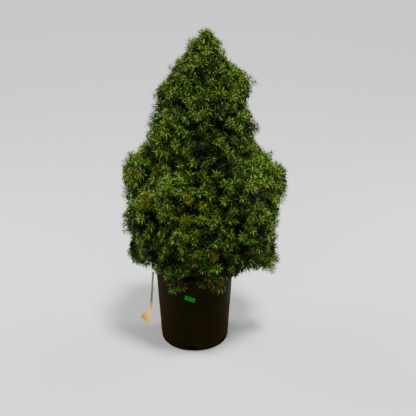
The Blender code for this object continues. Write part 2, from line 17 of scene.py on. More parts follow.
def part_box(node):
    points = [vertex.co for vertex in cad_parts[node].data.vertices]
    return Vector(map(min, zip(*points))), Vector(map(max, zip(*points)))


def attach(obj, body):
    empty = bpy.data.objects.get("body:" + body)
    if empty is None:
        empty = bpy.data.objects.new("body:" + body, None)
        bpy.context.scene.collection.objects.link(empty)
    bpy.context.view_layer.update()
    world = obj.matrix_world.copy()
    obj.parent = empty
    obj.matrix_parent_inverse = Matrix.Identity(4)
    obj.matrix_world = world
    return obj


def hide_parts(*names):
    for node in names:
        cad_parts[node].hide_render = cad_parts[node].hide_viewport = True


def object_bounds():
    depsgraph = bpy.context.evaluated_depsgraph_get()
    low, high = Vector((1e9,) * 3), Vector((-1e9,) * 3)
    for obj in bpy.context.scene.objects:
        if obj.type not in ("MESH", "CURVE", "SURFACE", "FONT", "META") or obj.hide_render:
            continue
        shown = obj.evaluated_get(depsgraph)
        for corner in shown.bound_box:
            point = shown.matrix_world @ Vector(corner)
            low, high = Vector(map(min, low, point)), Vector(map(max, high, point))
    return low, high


bl_info = {
    "name": "Potted dwarf spruce",
    "version": (1, 0, 0),
    "blender": (4, 5, 0),
    "location": "3D View > Sidebar > Spruce",
    "description": "Grows and finishes a dwarf Alberta spruce in its nursery pot",
    "category": "Object",
}

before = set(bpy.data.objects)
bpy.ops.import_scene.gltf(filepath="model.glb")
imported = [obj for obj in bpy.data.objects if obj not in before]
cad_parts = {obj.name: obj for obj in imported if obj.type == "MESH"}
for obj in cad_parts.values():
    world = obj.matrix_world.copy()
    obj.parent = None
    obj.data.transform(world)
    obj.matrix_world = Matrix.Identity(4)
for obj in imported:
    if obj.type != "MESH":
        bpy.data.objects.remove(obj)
CAD_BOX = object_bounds()
BODY = "root"

UP = np.array((0.0, 0.0, 1.0))
GOLDEN_ANGLE = math.pi * (3 - math.sqrt(5))
TURN = math.tau
ARC_STEPS = 5  # points on a rounded corner
TINY, NEARLY_LEVEL = 1e-9, 1e-6

# Sizes that the frame gives.
_, (POT_LIP_RADIUS, _, POT_HEIGHT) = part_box("pot")
MIX_BASE, MIX_TOP = (corner[2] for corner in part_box("potting_mix"))
TRUNK_BASE, TRUNK_TOP = (corner[2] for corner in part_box("trunk"))

# Pot and mix, as in the solid model.
POT_TOP_RADIUS = POT_LIP_RADIUS - 0.0040
POT_BASE_RADIUS, POT_FOOT_RADIUS, POT_BEVEL = 0.0957, 0.0903, 0.008
POT_WALL, POT_FLOOR = 0.0024, 0.003
LIP_HEIGHT, LIP_ROUND = 0.018, 0.0012
# The foot's ring, inwards from its edge, and how high the base stands inside it.
FOOT_RING_IN, FOOT_RING_OUT, BASE_LIFT = 0.012, 0.010, 0.0022
# How round each corner of the profile is, from the base up and over the lip to the floor.
POT_ROUNDS = (0.0004, 0.0004, 0.0012, 0.006, 0.0015, 0.0008, 0.0012, 0.0011, 0.004, 0.001)
POT_STEPS, MIX_STEPS = 144, 150  # round the axis
SLOTS, SLOT_AZIMUTH = 6, math.radians(-93)
SLOT_WIDTH, SLOT_DEPTH, SLOT_CORNER = 0.024, 0.020, 0.0035
SLOT_LOW, SLOT_HIGH = 0.0060, 0.0165
SLOT_HOLLOW = 0.030  # the mix stays this far off the wall behind the slots
MIX_MOUND, MIX_LUMP, MIX_SINK, MIX_SKIRT_Z = 0.006, 0.0022, 0.0010, 0.05
MIX_FLAT, MIX_LUMP_SIZE = 0.018, 0.020  # even round the trunk, then lumps of this size
MIX_LEVEL_SHARE = 0.30  # of its radius, level where the trunk stands
CHIPS, LEAST_CHIP, LARGEST_CHIP = 260, (0.002, 0.0012, 0.0006), (0.006, 0.0032, 0.0014)

# Hang tag, as in the solid model: over the lip, then down with a twist from one angle to another.
TAG_WIDTH, TAG_THICKNESS, TAG_OFF_LIP = 0.031, 0.0008, 0.0012
TAG_TWIST_FROM, TAG_END_Z, TAG_END_SLANT = 0.200, 0.038, 0.027
TAG_TURN, TAG_TWIST, TAG_TWIST_POWER = math.radians(11), math.radians(80), 8
TAG_FLARE, TAG_CUP = 0.011, 0.0012
TAG_BENDS = (0.002, 0.0010, 0.0014, 0)

# Price label, as in the solid model, with its bars as the first and last rows and columns of
# cells that each takes.
LABEL_WIDTH, LABEL_HEIGHT, LABEL_THICKNESS, LABEL_CORNER = 0.0295, 0.0155, 0.0004, 0.0022
LABEL_AZIMUTH, LABEL_Z, LABEL_TILT = math.radians(-97), 0.173, math.radians(-20)
LABEL_CELLS = (20, 40)
LABEL_BARS = ((12, 15, 6, 22), (5, 7, 6, 34), (13, 14, 26, 34))

# Trunk and boughs, as in the solid model: the trunk leans to the right and flares at its foot.
TRUNK_FOOT_X, TRUNK_LEAN, TRUNK_SWAY = 0.008, 0.020, 0.003
TRUNK_LOW_RADIUS, TRUNK_TIP_RADIUS = 0.0115, 0.0022
FLARE_RADIUS, FLARE_HEIGHT, FLARE_BUTTRESSES, FLARE_DEPTH = 0.0060, 0.040, 4, 0.22
BOUGH_SHARE, BOUGH_TIP_RADIUS, BOUGH_RISE, BOUGH_STOP = 0.42, 0.0030, 0.30, 0.002
THIN_BARK, BOUGH_RELIEF = 0.006, 0.6  # radius under which relief fades, and its share on boughs
GAP = 0.0003  # between parts that don't join

# Lobes of the crown, as in the solid model: tier, how many, first azimuth in degrees, height of
# their centres, distance of those from the crown's axis, radius, distance kept clear of the trunk.
FLATNESS = 0.86
CROWN_X = 0.024
TIERS = (
    ("hem", 6, -5, 0.300, 0.121, 0.088, 0.050),
    ("belly", 6, 25, 0.400, 0.142, 0.091, 0.050),
    ("waist", 6, 5, 0.500, 0.136, 0.089, 0.042),
    ("shoulder", 5, 56, 0.604, 0.080, 0.082, 0),
    ("neck", 4, 5, 0.704, 0.052, 0.072, 0),
    ("crest", 3, 45, 0.794, 0.028, 0.054, 0),
    ("leader", 1, 0, 0.859, 0.006, 0.045, 0),
)
BOUGH_TIERS = ("hem", "belly", "waist")
# Lobes that break the even rings: degrees turned, then change of distance from the crown's
# axis, of height and of radius.
SHAPED = {
    "hem_left": (0, 0.006, -0.018, 0.000),
    "belly_back_right": (0, 0.008, -0.010, 0.000),
    "waist_right": (-4, 0.012, -0.020, 0.000),
    "waist_back_right": (-18, 0.012, -0.004, 0.003),
    "waist_back_left": (6, 0.010, 0.000, 0.003),
    "waist_left": (0, 0.004, 0.010, -0.005),
    "shoulder_right": (0, -0.014, 0.030, 0.003),
    "shoulder_left": (0, -0.012, 0.022, 0.008),
    "neck_right": (0, 0.002, 0.036, 0.007),
    "neck_left": (0, 0.002, 0.022, 0.001),
    "crest_left": (0, -0.004, 0.000, -0.004),
}
# Small sprays that droop over the front of the rim: name, azimuth in degrees, distance from the
# pot's axis, height and radius.
DROOPS = (
    ("droop_left", 252, 0.140, 0.241, 0.033),
    ("droop_right", 289, 0.143, 0.239, 0.036),
)
DROOP_INSIDE = 0.1195
DROOP_BOUGH_SHARE, DROOP_TIP_RADIUS, DROOP_STRAIGHT = 0.27, 0.0022, 0.006
DROOP_BOUGH_Z = (0.241, 0.253, 0.2575, 0.2535)
DROOP_BOUGH_AT = (0.0, 0.40, 0.78, 1.0)
# Where a drooping spray's twigs end: across it and up, as shares of its radius.
HANGING = {
    "droop_left": ((-0.35, -0.10), (0.10, -0.25), (0.45, 0.05)),
    "droop_right": ((-0.85, 0.30), (-0.35, -0.30), (0.50, 0.05)),
}
# The hem stays above a slope that starts over the rim, and in front above the droops.
HEADROOM, HEADROOM_ARC = 0.271, math.radians(50)
RIM_CLEAR_RADIUS, RIM_CLEAR_HEIGHT, RIM_SLOPE = 0.125, 0.243, 0.6
COMPASS = ("right", "back_right", "back", "back_left", "left", "front_left", "front", "front_right")
# How foliage fills the creases between lobes, and how lumpy its face is.
CREASE_FILL, CREASE_WIDTH = 0.018, 0.032
LUMP_DEPTH, LUMP_SIZE = 0.014, 0.070
# Stems run past the middle of their lobe, and twigs leave them a little before their places.
STEM_RADII, STEM_PAST = (0.0030, 0.0024, 0.0014), 0.35
TWIG_SLANT, FIRST_FORK, LAST_FORK = 0.3, -0.5, 0.9
# Shoots lean out, leading ones bear more needles, and twigs are spaced for a lobe of this radius.
SHOOT_LEAN, LEAD_EXTRA, SHOOT_LOBE = 0.10, 0.35, 0.087
SPRIG_SHOOT = 0.036
# How far past the object's size a shoot may end, sideways and upwards.
BOX_SPARE = np.array((-0.004, -0.004, 0.004))

# How much each tier's shoots turn upwards: more towards the top of the crown.
LIFTS = {
    "hem": 0.00,
    "belly": 0.12,
    "waist": 0.20,
    "shoulder": 0.30,
    "neck": 0.42,
    "crest": 0.65,
    "leader": 1.10,
    "droop": -1.60,
}

# Long shoots that stand out of the outline: where each ends.
SPRIGS = {
    "leader": (
        (0.029, 0.000, 0.912), (0.034, 0.006, 0.903), (0.066, -0.004, 0.871),
        (0.054, 0.010, 0.858), (0.010, 0.000, 0.872),
    ),
    "neck_left": ((-0.092, -0.010, 0.730), (-0.088, 0.010, 0.752)),
    "neck_right": ((0.165, 0.000, 0.752), (0.160, -0.030, 0.778)),
    "shoulder_right": ((0.162, -0.010, 0.684),),
    "waist_left": ((-0.199, -0.020, 0.497), (-0.199, -0.030, 0.445)),
    "waist_right": (
        (0.256, -0.020, 0.470), (0.256, -0.020, 0.440), (0.206, -0.010, 0.548),
        (0.196, -0.020, 0.562),
    ),
    "hem_right": (
        (0.239, -0.020, 0.259), (0.237, -0.034, 0.250), (0.230, -0.044, 0.238),
        (0.236, -0.004, 0.244), (0.222, -0.050, 0.226), (0.238, -0.012, 0.252),
        (0.228, -0.024, 0.238), (0.224, -0.012, 0.230), (0.214, -0.036, 0.222),
    ),
    "hem_left": ((-0.185, -0.020, 0.300), (-0.187, -0.010, 0.270)),
    "belly_back": ((0.030, 0.125, 0.505), (0.018, 0.140, 0.485), (0.046, 0.138, 0.490)),
    "shoulder_back_left": ((0.012, 0.122, 0.525),),
    "shoulder_back_right": ((0.046, 0.120, 0.525),),
}

# Places on the crown that stand back, with painted shade on their sprays, or stand out, with
# painted light: the middle and the radius of each, and how much. A whole step moves the foliage by
# PATCH_STEP.
PATCHES = (
    ((0.022, -0.079, 0.800), 0.022, -0.85),
    ((0.024, -0.122, 0.694), 0.018, -0.35),
    ((0.023, -0.150, 0.620), 0.026, -0.70),
    ((0.070, -0.124, 0.645), 0.023, -0.65),
    ((0.103, -0.144, 0.568), 0.027, -0.95),
    ((0.142, -0.143, 0.558), 0.026, -0.80),
    ((-0.096, -0.126, 0.548), 0.030, -0.85),
    ((-0.060, -0.137, 0.565), 0.026, -0.75),
    ((-0.149, -0.137, 0.389), 0.030, -0.60),
    ((0.048, -0.221, 0.375), 0.026, -0.70),
    ((0.025, -0.226, 0.425), 0.020, -0.30),
    ((-0.078, -0.176, 0.318), 0.026, -0.75),
    ((0.031, -0.146, 0.548), 0.026, 0.35),
    ((-0.041, -0.186, 0.552), 0.022, 0.30),
    ((0.049, -0.181, 0.500), 0.022, 0.20),
    ((-0.056, -0.082, 0.682), 0.020, 0.25),
)
PATCH_STEP = 0.022
FOLIAGE_FOOT, FOLIAGE_RISE = 0.25, 0.65

# Painted light and shade by lobe: sprays on these lobes are paler where light falls on them, or
# darker where they lie in shade.
LOBE_PAINTED_LIGHT = {
    "belly_front": 0.24,
    "waist_front_left": 0.16,
    "waist_front_right": 0.14,
    "waist_left": -0.08,
    "shoulder_front": -0.18,
    "neck_front": -0.05,
    "hem_front_left": -0.08,
    "hem_front_right": -0.08,
    "hem_left": -0.12,
    "droop_left": -0.30,
    "droop_right": -0.30,
}


# Vectors


def unit(vectors):
    """The same directions at length 1."""
    return vectors / np.linalg.norm(vectors, axis=-1, keepdims=True)


def dot(first, second):
    """Dot products of rows of vectors."""
    return (first * second).sum(axis=-1)


def cross_frame(axes):
    """Two unit vectors square to each axis and to each other."""
    steep = np.abs(axes[..., 2:]) > 0.9
    helper = np.where(steep, np.array((1.0, 0.0, 0.0)), UP)
    side = unit(np.cross(helper, axes))
    return side, np.cross(axes, side)


def around(angle, radius=1.0, z=0.0):
    """Points round the upright axis, so far out, so far turned and so high."""
    x, y = radius * np.cos(angle), radius * np.sin(angle)
    return np.stack(np.broadcast_arrays(x, y, z), axis=-1)


def swung(first, second, angle):
    """Unit vectors that swing from the first towards the second, square to it, by angles."""
    return first * np.cos(angle)[..., None] + second * np.sin(angle)[..., None]


def flattened(vectors):
    """Stretches the height so that a lobe's outline becomes a ball."""
    return vectors / np.array((1.0, 1.0, FLATNESS))


def spiral_rays(count, spin):
    """Unit rays over a ball: heights in equal steps, each turned on by the golden angle."""
    index = np.arange(count)
    z = 1 - 2 * (index + 0.5) / count
    return around(GOLDEN_ANGLE * index + spin, np.sqrt(1 - z * z), z)


def bezier(ends, count):
    """Points on cubic curves, given their four control points as (curves, 4, 3)."""
    t = np.linspace(0, 1, count)
    weights = np.stack([(1 - t) ** 3, 3 * t * (1 - t) ** 2, 3 * t**2 * (1 - t), t**3])
    return np.einsum("kt,ckx->ctx", weights, ends)


def waves(points, scale, seed, octaves=3):
    """Smooth noise from -1 to 1: sines in random directions, each octave twice as fine."""
    chance = np.random.default_rng(seed)
    total, weight = 0.0, 0.0
    for octave in range(octaves):
        for _ in range(5):
            direction = unit(chance.normal(size=3)) * TURN / scale * 2**octave
            phase = chance.uniform(0, TURN)
            total = total + np.sin(points @ direction + phase) * 0.5**octave
            weight += 0.5**octave
    return total / weight * 2


# Meshes


class Skin:
    """Collects vertices and faces, array by array, and turns them into one object."""

    def __init__(self):
        self.points = []
        self.faces = []
        self.tones = []
        self.count = 0

    def add(self, points, faces, tones=0):
        """Points of any shape (..., 3) and faces (n, corners) that index into them."""
        points = points.reshape(-1, 3)
        faces = faces.reshape(-1, faces.shape[-1]) + self.count
        self.points.append(points)
        self.faces.append(faces)
        self.tones.append(np.broadcast_to(tones, len(faces)))
        self.count += len(points)

    def join(self, faces, back, tones=0):
        """Adds faces between points that are already there, counted from so many back."""
        self.add(np.zeros((0, 3)), faces - back, tones)

    def object(self, name, materials, smooth=True):
        """An object that isn't in the scene yet."""
        mesh = bpy.data.meshes.new(name)
        points = np.concatenate(self.points).astype(np.float32)
        corners = np.concatenate([faces.ravel() for faces in self.faces]).astype(np.int32)
        sizes = np.concatenate([np.full(len(f), f.shape[1]) for f in self.faces])
        starts = np.concatenate([[0], np.cumsum(sizes)[:-1]]).astype(np.int32)
        mesh.vertices.add(len(points))
        mesh.vertices.foreach_set("co", points.ravel())
        mesh.loops.add(len(corners))
        mesh.loops.foreach_set("vertex_index", corners)
        mesh.polygons.add(len(sizes))
        mesh.polygons.foreach_set("loop_start", starts)
        for material in materials:
            mesh.materials.append(material)
        mesh.polygons.foreach_set("material_index", np.concatenate(self.tones).astype(np.int32))
        mesh.update(calc_edges=True)
        if smooth:
            mesh.shade_smooth()
        return bpy.data.objects.new(name, mesh)

    def build(self, name, materials, slot, nodes, sharp_over=None):
        """One piece of the scene, which rides on the body and stands for nodes.

        It is shaded smooth under an angle, or faceted when that is 0.
        """
        made = self.object(name, materials, sharp_over != 0)
        if sharp_over:
            made.data.set_sharp_from_angle(angle=math.radians(sharp_over))
        bpy.context.scene.collection.objects.link(made)
        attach(made, BODY)
        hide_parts(*nodes)
        return made


def grid_faces(rows, columns, closed=False):
    """Quads of a grid of rows by columns, its last column joined to its first when closed."""
    row = np.arange(rows - 1)[:, None]
    column = np.arange(columns if closed else columns - 1)[None, :]
    after = (column + 1) % columns
    corners = [row * columns + column, row * columns + after]
    corners += [(row + 1) * columns + after, (row + 1) * columns + column]
    return np.stack(np.broadcast_arrays(*corners), axis=-1).reshape(-1, 4)


def tubes(paths, radii, sides):
    """Tapering tubes: a ring of corners round each point of each path (tubes, points, 3).

    Each ring lies square to the path there, and turns with it from one fixed direction.
    """
    tangents = unit(np.gradient(paths, axis=1))
    whole = unit(paths[:, -1] - paths[:, 0])
    side, _ = cross_frame(whole)
    side = unit(side[:, None] - tangents * dot(side[:, None], tangents)[..., None])
    lift = np.cross(tangents, side)
    ring = swung(side[..., None, :], lift[..., None, :], TURN * np.arange(sides) / sides)
    return paths[:, :, None] + ring * radii[..., None, None]


def copies(faces, corners, count):
    """One shape's faces, again for each of so many shapes with so many corners each."""
    return np.array(faces) + corners * np.arange(count)[:, None, None]


def add_barrels(skin, grids, tones=0):
    """Adds barrels, each a grid of rings (rings, sides, 3) with a flat cap at both ends."""
    count, rings, sides = grids.shape[:3]
    side = np.arange(sides)
    caps = np.stack([side[::-1], side + (rings - 1) * sides])
    quads = copies(grid_faces(rings, sides, closed=True), rings * sides, count)
    tones = np.broadcast_to(tones, count)
    skin.add(grids, quads, np.repeat(tones, quads.shape[1]))
    skin.join(copies(caps, rings * sides, count), grids.size // 3, np.repeat(tones, 2))


def add_plate(skin, front, back, tones=0):
    """Adds a closed plate between two grids (rows, columns, 3), its front in the tones given."""
    rows, columns = front.shape[:2]
    quads = grid_faces(rows, columns)
    count = rows * columns
    index = np.arange(count).reshape(rows, columns)
    border = np.concatenate([index[0, :-1], index[:-1, -1], index[-1, :0:-1], index[:0:-1, 0]])
    after = np.roll(border, -1)
    rim = np.stack([after, border, border + count, after + count], axis=1)
    faces = np.concatenate([quads, quads[:, ::-1] + count, rim])
    tones = np.broadcast_to(tones, len(quads))
    rest = np.zeros(len(quads) + len(rim), int)
    skin.add(np.stack([front, back]), faces, np.concatenate([tones, rest]))


def turned(radii, heights, steps):
    """A lathe about the pot's axis: rows of rings, as a grid (rings, steps, 3)."""
    return around(TURN * np.arange(steps) / steps, radii[:, None], heights[:, None])


def add_turned(skin, rings, low, high):
    """Adds a lathe's rings, from the base on, closed on the axis at two heights."""
    count, steps = rings.shape[:2]
    skin.add(rings, grid_faces(count, steps, closed=True))
    this = np.arange(steps)
    after = (this + 1) % steps
    foot = np.stack([0 * this, after - count * steps, this - count * steps], axis=1)
    head = np.stack([0 * this + 1, this - steps, after - steps], axis=1)
    skin.add(np.outer((low, high), UP), np.concatenate([foot, head]))


def rounded(corners, radii):
    """A line of points with its corners rounded, each by its own radius."""
    corners = np.array(corners, float)
    line = [corners[:1]]
    for before, corner, after, radius in zip(corners, corners[1:], corners[2:], radii):
        if not radius:
            line.append(corner[None])
            continue
        back, on = unit(before - corner), unit(after - corner)
        half = math.acos(np.clip(back @ on, -1, 1)) / 2
        cut = radius / math.tan(half)
        share = np.linspace(0, 1, ARC_STEPS)[:, None]
        arc = (corner + back * cut) * (1 - share) ** 2 + (corner + on * cut) * share**2
        line.append(arc + corner * 2 * share * (1 - share))
    return np.concatenate([*line, corners[-1:]])


# Materials

# Numbers of the sockets that share a name or that a node's mode picks.
OBJECT_COORDINATES = 3
HEIGHT_OUTPUT = 2
MIX_COLOUR_INPUTS, MIX_COLOUR = (0, 6, 7), 2


class Socket:
    """A node's output. Arithmetic on it adds Math nodes."""

    def __init__(self, paint, socket):
        self.paint = paint
        self.socket = socket

    def math(self, operation, *values):
        """The output of a new Math node that the values feed in order."""
        sockets = dict(enumerate(values))
        return self.paint.node("ShaderNodeMath", {"operation": operation}, sockets)

    def __add__(self, other):
        return self.math("ADD", self, other)

    __radd__ = __add__

    def __sub__(self, other):
        return self.math("SUBTRACT", self, other)

    def __rsub__(self, other):
        return self.math("SUBTRACT", other, self)

    def __mul__(self, other):
        return self.math("MULTIPLY", self, other)

    __rmul__ = __mul__


class Paint:
    """A material under way: one shader, and one method that adds any other node."""

    def __init__(self, name, colour, roughness, shine, **constants):
        self.material = bpy.data.materials.new(name)
        self.material.use_nodes = True
        self.tree = self.material.node_tree
        self.shader = self.tree.nodes["Principled BSDF"]
        self.set(Base_Color=colour, Roughness=roughness, Specular_IOR_Level=shine, **constants)

    def set(self, **values):
        """Sets the shader's sockets, whose names are written with _ for a space."""
        for name, value in values.items():
            self.feed(self.shader.inputs[name.replace("_", " ")], value)

    def feed(self, target, value):
        """Links a node's output to a socket, or sets the socket's constant."""
        if isinstance(value, Socket):
            self.tree.links.new(value.socket, target)
        elif target.type == "RGBA":
            target.default_value = (*value, 1)
        else:
            target.default_value = value

    def node(self, kind, settings=None, sockets=None, output=0):
        """Adds a node, sets its settings, then feeds its sockets, named or numbered."""
        made = self.tree.nodes.new(kind)
        for name, value in (settings or {}).items():
            setattr(made, name, value)
        for name, value in (sockets or {}).items():
            self.feed(made.inputs[name], value)
        return Socket(self, made.outputs[output])

    def place(self, scale=(1, 1, 1)):
        """Object coordinates, scaled."""
        where = self.node("ShaderNodeTexCoord", output=OBJECT_COORDINATES)
        return self.node("ShaderNodeMapping", None, {"Vector": where, "Scale": scale})

    def height(self, where):
        """The upright part of coordinates."""
        return self.node("ShaderNodeSeparateXYZ", None, {0: where}, HEIGHT_OUTPUT)

    def noise(self, where, scale, detail, roughness):
        """Cloudy noise about 0.5, so many waves to a metre."""
        sockets = {"Vector": where, "Scale": scale, "Detail": detail, "Roughness": roughness}
        return self.node("ShaderNodeTexNoise", None, sockets)

    def between(self, value, low, high):
        """0 where a value is under low, 1 where it is over high."""
        sockets = {"Value": value, "From Min": low, "From Max": high}
        return self.node("ShaderNodeMapRange", {"clamp": True}, sockets)

    def mix(self, mask, first, second):
        """One colour where the mask is 0 and another where it is 1."""
        sockets = dict(zip(MIX_COLOUR_INPUTS, (mask, first, second)))
        return self.node("ShaderNodeMix", {"data_type": "RGBA"}, sockets, MIX_COLOUR)

    def bump(self, height, strength, distance):
        """Tilts the shader's normals as if the surface rose by a height."""
        sockets = {"Height": height, "Strength": strength, "Distance": distance}
        self.set(Normal=self.node("ShaderNodeBump", None, sockets))


def plain(name, colour, roughness, shine):
    """A material of one colour."""
    return Paint(name, colour, roughness, shine).material


# Settings


def setting(kind, name, description, default, **limits):
    """A property of one kind, with what the panel shows and its limits."""
    return kind(name=name, description=description, default=default, **limits)


a_colour = partial(setting, FloatVectorProperty, subtype="COLOR", min=0, max=1)
a_point = partial(setting, FloatVectorProperty, subtype="XYZ")
a_length = partial(setting, FloatProperty, unit="LENGTH", min=0)
an_amount = partial(setting, FloatProperty, min=0)
an_angle = partial(setting, FloatProperty, subtype="ANGLE", min=0)
a_number = partial(setting, IntProperty, min=1)


class SpruceNeedles(bpy.types.PropertyGroup):
    length: a_length("Needle length", "Length of a full-grown needle", 0.0180)
    width: a_length("Needle width", "Widest point of a needle, larger than life", 0.0024)
    per_metre: an_amount("Needles", "Needles on a metre of outer shoot", 620)
    at_tip: a_number("Tip needles", "Needles that crowd a shoot's tip", 9)
    bare: an_amount("Bare foot", "Share of a shoot that is bare at its foot", 0.08)
    widest: an_amount("Widest at", "Where along it a needle is widest", 0.42)
    root_angle: an_angle("Root angle", "How far needles lean off a shoot's foot", 1.34)
    tip_angle: an_angle("Tip angle", "How far needles lean off a shoot's tip", 0.88)
    # Painted light and shade: shade, deep, middle, bright and new growth are darker and paler
    # copies of one green, dealt out by how much light each spray would get. New growth is also the
    # young needles' own paler green.
    fresh: a_colour("New growth", "Needles at the tips in full light", (0.250, 0.405, 0.048))
    bright: a_colour("Bright", "Outer needles", (0.092, 0.196, 0.019))
    cool: a_colour("Cool", "Greyer sprays low in the crown", (0.0240, 0.0720, 0.0100))
    middle: a_colour("Middle", "Most needles", (0.0260, 0.0920, 0.0065))
    # Painted shade: for sprays a little under the crown's face, and for the darker needles of
    # middle and cool sprays.
    deep: a_colour("Deep", "Needles low on a shoot", (0.0105, 0.0310, 0.0018))
    # Painted shade: near black, for sprays deep in the crown and for the old inner shoots.
    shade: a_colour("Shade", "Old needles inside the crown", (0.0025, 0.0065, 0.0008))
    bronze: a_colour("Bronze", "A few sprays that turned in the sun", (0.12, 0.15, 0.012))


class SpruceTwigs(bpy.types.PropertyGroup):
    spacing: a_length("Twig spacing", "Between twig tips over a lobe", 0.036)
    shoots: a_number("Shoots", "Side shoots on a twig", 3)
    inner: a_number("Inner shoots", "Old shoots low on a twig", 1)
    shoot_length: a_length("Shoot length", "Length of a side shoot", 0.042)
    shoot_radius: a_length("Shoot radius", "Radius at a shoot's foot", 0.0012)
    twig_radius: a_length("Twig radius", "Radius at a twig's foot", 0.0017)
    bud_length: a_length("Bud length", "Length of the bud at a shoot's tip", 0.0042)
    dull: an_amount("Dull shoots", "Share of shoots whose wood has darkened", 0.5)
    young: a_colour("Young wood", "This year's shoots", (0.36, 0.150, 0.012))
    old: a_colour("Old wood", "Twigs inside the crown", (0.07, 0.036, 0.010))
    bud: a_colour("Bud", "Buds at the tips", (0.50, 0.17, 0.025))


class SpruceBark(bpy.types.PropertyGroup):
    relief: a_length("Relief", "Depth of the bark's plates", 0.0008)
    high: a_colour("Plates", "Outer bark", (0.17, 0.095, 0.05))
    low: a_colour("Cracks", "Between the plates", (0.045, 0.022, 0.012))


class SprucePot(bpy.types.PropertyGroup):
    colour: a_colour("Plastic", "The pot's own colour", (0.0050, 0.0045, 0.0006))
    dusty: a_colour("Dust", "Where soil has dried on it", (0.0140, 0.0085, 0.0012))
    mix: a_colour("Potting mix", "Damp mix", (0.022, 0.013, 0.008))
    bark_chip: a_colour("Chips", "Bark chips in the mix", (0.075, 0.04, 0.022))
    card: a_colour("Card", "The hang tag's face", (1.0, 0.64, 0.17))
    # Painted shade: dark brown for the tag's upper part, which hangs in the crown's shadow.
    card_painted_shade: a_colour("Card stain", "Where painted shade darkens the tag", (0.05, 0.026, 0.012))
    sticker: a_colour("Sticker", "The price label", (0.0004, 0.125, 0.0006))
    sticker_mark: a_colour("Sticker bars", "Faint bars on the label", (0.0006, 0.045, 0.001))


class SpruceStage(bpy.types.PropertyGroup):
    lens: setting(FloatProperty, "Lens", "Focal length", 88.1, unit="CAMERA")
    eye: a_point("Camera", "Where it stands", (0, -2.6, 1.5))
    aim: a_point("Aim", "Point it looks at", (0.0385, 0, 0.4017))
    sky: an_amount("Sky", "Brightness of the room round the object", 0.10)
    power: an_amount("Lamps", "Strength of every lamp", 1.0)
    floor: a_colour("Floor", "Pale studio floor", (0.86, 0.86, 0.86))


class SpruceSettings(bpy.types.PropertyGroup):
    needles: PointerProperty(type=SpruceNeedles)
    twigs: PointerProperty(type=SpruceTwigs)
    bark: PointerProperty(type=SpruceBark)
    pot: PointerProperty(type=SprucePot)
    stage: PointerProperty(type=SpruceStage)


# Pot, mix, label and tag


def wall_radius(z):
    """Outer radius of the pot's tapered wall at a height."""
    share = (z - POT_BEVEL) / (POT_HEIGHT - POT_BEVEL)
    return POT_BASE_RADIUS + share * (POT_TOP_RADIUS - POT_BASE_RADIUS)


def inner_radius(z):
    """Inner radius of the pot's wall at a height."""
    return wall_radius(z) - POT_WALL


def pot_profile():
    """Up the outside, over the rolled lip and down the inside, as (radius, height)."""
    low = POT_HEIGHT - LIP_HEIGHT
    corners = [
        (0, BASE_LIFT),
        (POT_FOOT_RADIUS - FOOT_RING_IN, BASE_LIFT),
        (POT_FOOT_RADIUS - FOOT_RING_OUT, 0),
        (POT_FOOT_RADIUS, 0),
        (POT_BASE_RADIUS, POT_BEVEL),
        (wall_radius(low), low),
        (POT_LIP_RADIUS, low + LIP_ROUND),
        (POT_LIP_RADIUS, POT_HEIGHT),
        (inner_radius(POT_HEIGHT), POT_HEIGHT),
        (inner_radius(POT_BEVEL), POT_BEVEL),
        (POT_FOOT_RADIUS - POT_WALL, POT_FLOOR),
        (0, POT_FLOOR),
    ]
    line = rounded(corners, POT_ROUNDS)
    # Ten more rings on the bevel's corner, where the drain slots cross it.
    after = 4 * ARC_STEPS - 1
    more = np.linspace(line[after - 1], line[after], 12)[1:-1]
    return np.concatenate([line[:after], more, line[after:]])


def slot_cutter():
    """Rounded blocks where the drain slots go."""
    skin = Skin()
    width, height = SLOT_WIDTH / 2, (SLOT_HIGH - SLOT_LOW) / 2
    corners = [(-width, -height), (width, -height), (width, height), (-width, height)]
    line = rounded([(-width, 0), *corners, (-width, 0)], (SLOT_CORNER,) * 4)[:-1]
    for slot in range(SLOTS):
        azimuth = SLOT_AZIMUTH + TURN * slot / SLOTS
        out, across = around(azimuth), around(azimuth + math.pi / 2)
        section = line[:, :1] * across + line[:, 1:] * UP + UP * (SLOT_LOW + SLOT_HIGH) / 2
        ends = [out * (POT_BASE_RADIUS + step) for step in (-SLOT_DEPTH / 2, SLOT_DEPTH / 2)]
        add_barrels(skin, np.array([[section + end for end in ends]]))
    return skin


def cut_slots(pot):
    """Cuts the drain slots and keeps the result as the pot's own mesh."""
    tool = slot_cutter().object("slot_cutter", [])
    bpy.context.scene.collection.objects.link(tool)
    cut = pot.modifiers.new("Drain slots", "BOOLEAN")
    cut.object = tool
    cut.solver = "EXACT"
    graph = bpy.context.evaluated_depsgraph_get()
    made = bpy.data.meshes.new_from_object(pot.evaluated_get(graph))
    made.set_sharp_from_angle(angle=math.radians(35))
    pot.modifiers.remove(cut)
    pot.data = made
    bpy.data.objects.remove(tool)


def plastic_material(looks):
    """Black-brown satin plastic with clouds and specks of dried soil, most at the foot."""
    film = {"Sheen_Weight": 0.04, "Sheen_Roughness": 0.4, "Sheen_Tint": (1.0, 0.38, 0.04)}
    paint = Paint("pot_plastic", looks.colour, 0.5, 0.01, **film)
    where = paint.place()
    foot = paint.between(paint.height(where), 0.05, 0.0)
    cloud = paint.noise(where, 17, 6, 0.60)
    specks = paint.between(paint.noise(where, 420, 2, 0.5), 0.60, 0.70)
    streaks = paint.noise(paint.place((1, 1, 0.06)), 150, 3, 0.6)
    dust = paint.between(cloud + foot * 0.20, 0.44, 0.74) * 0.7 + specks * 0.25
    paint.set(Base_Color=paint.mix(dust, looks.colour, looks.dusty))
    paint.set(Roughness=0.40 + cloud * 0.18 + dust * 0.25)
    paint.bump(streaks * 0.5 + paint.noise(where, 900, 2, 0.5) * 0.5, 0.35, 0.0003)
    return paint.material


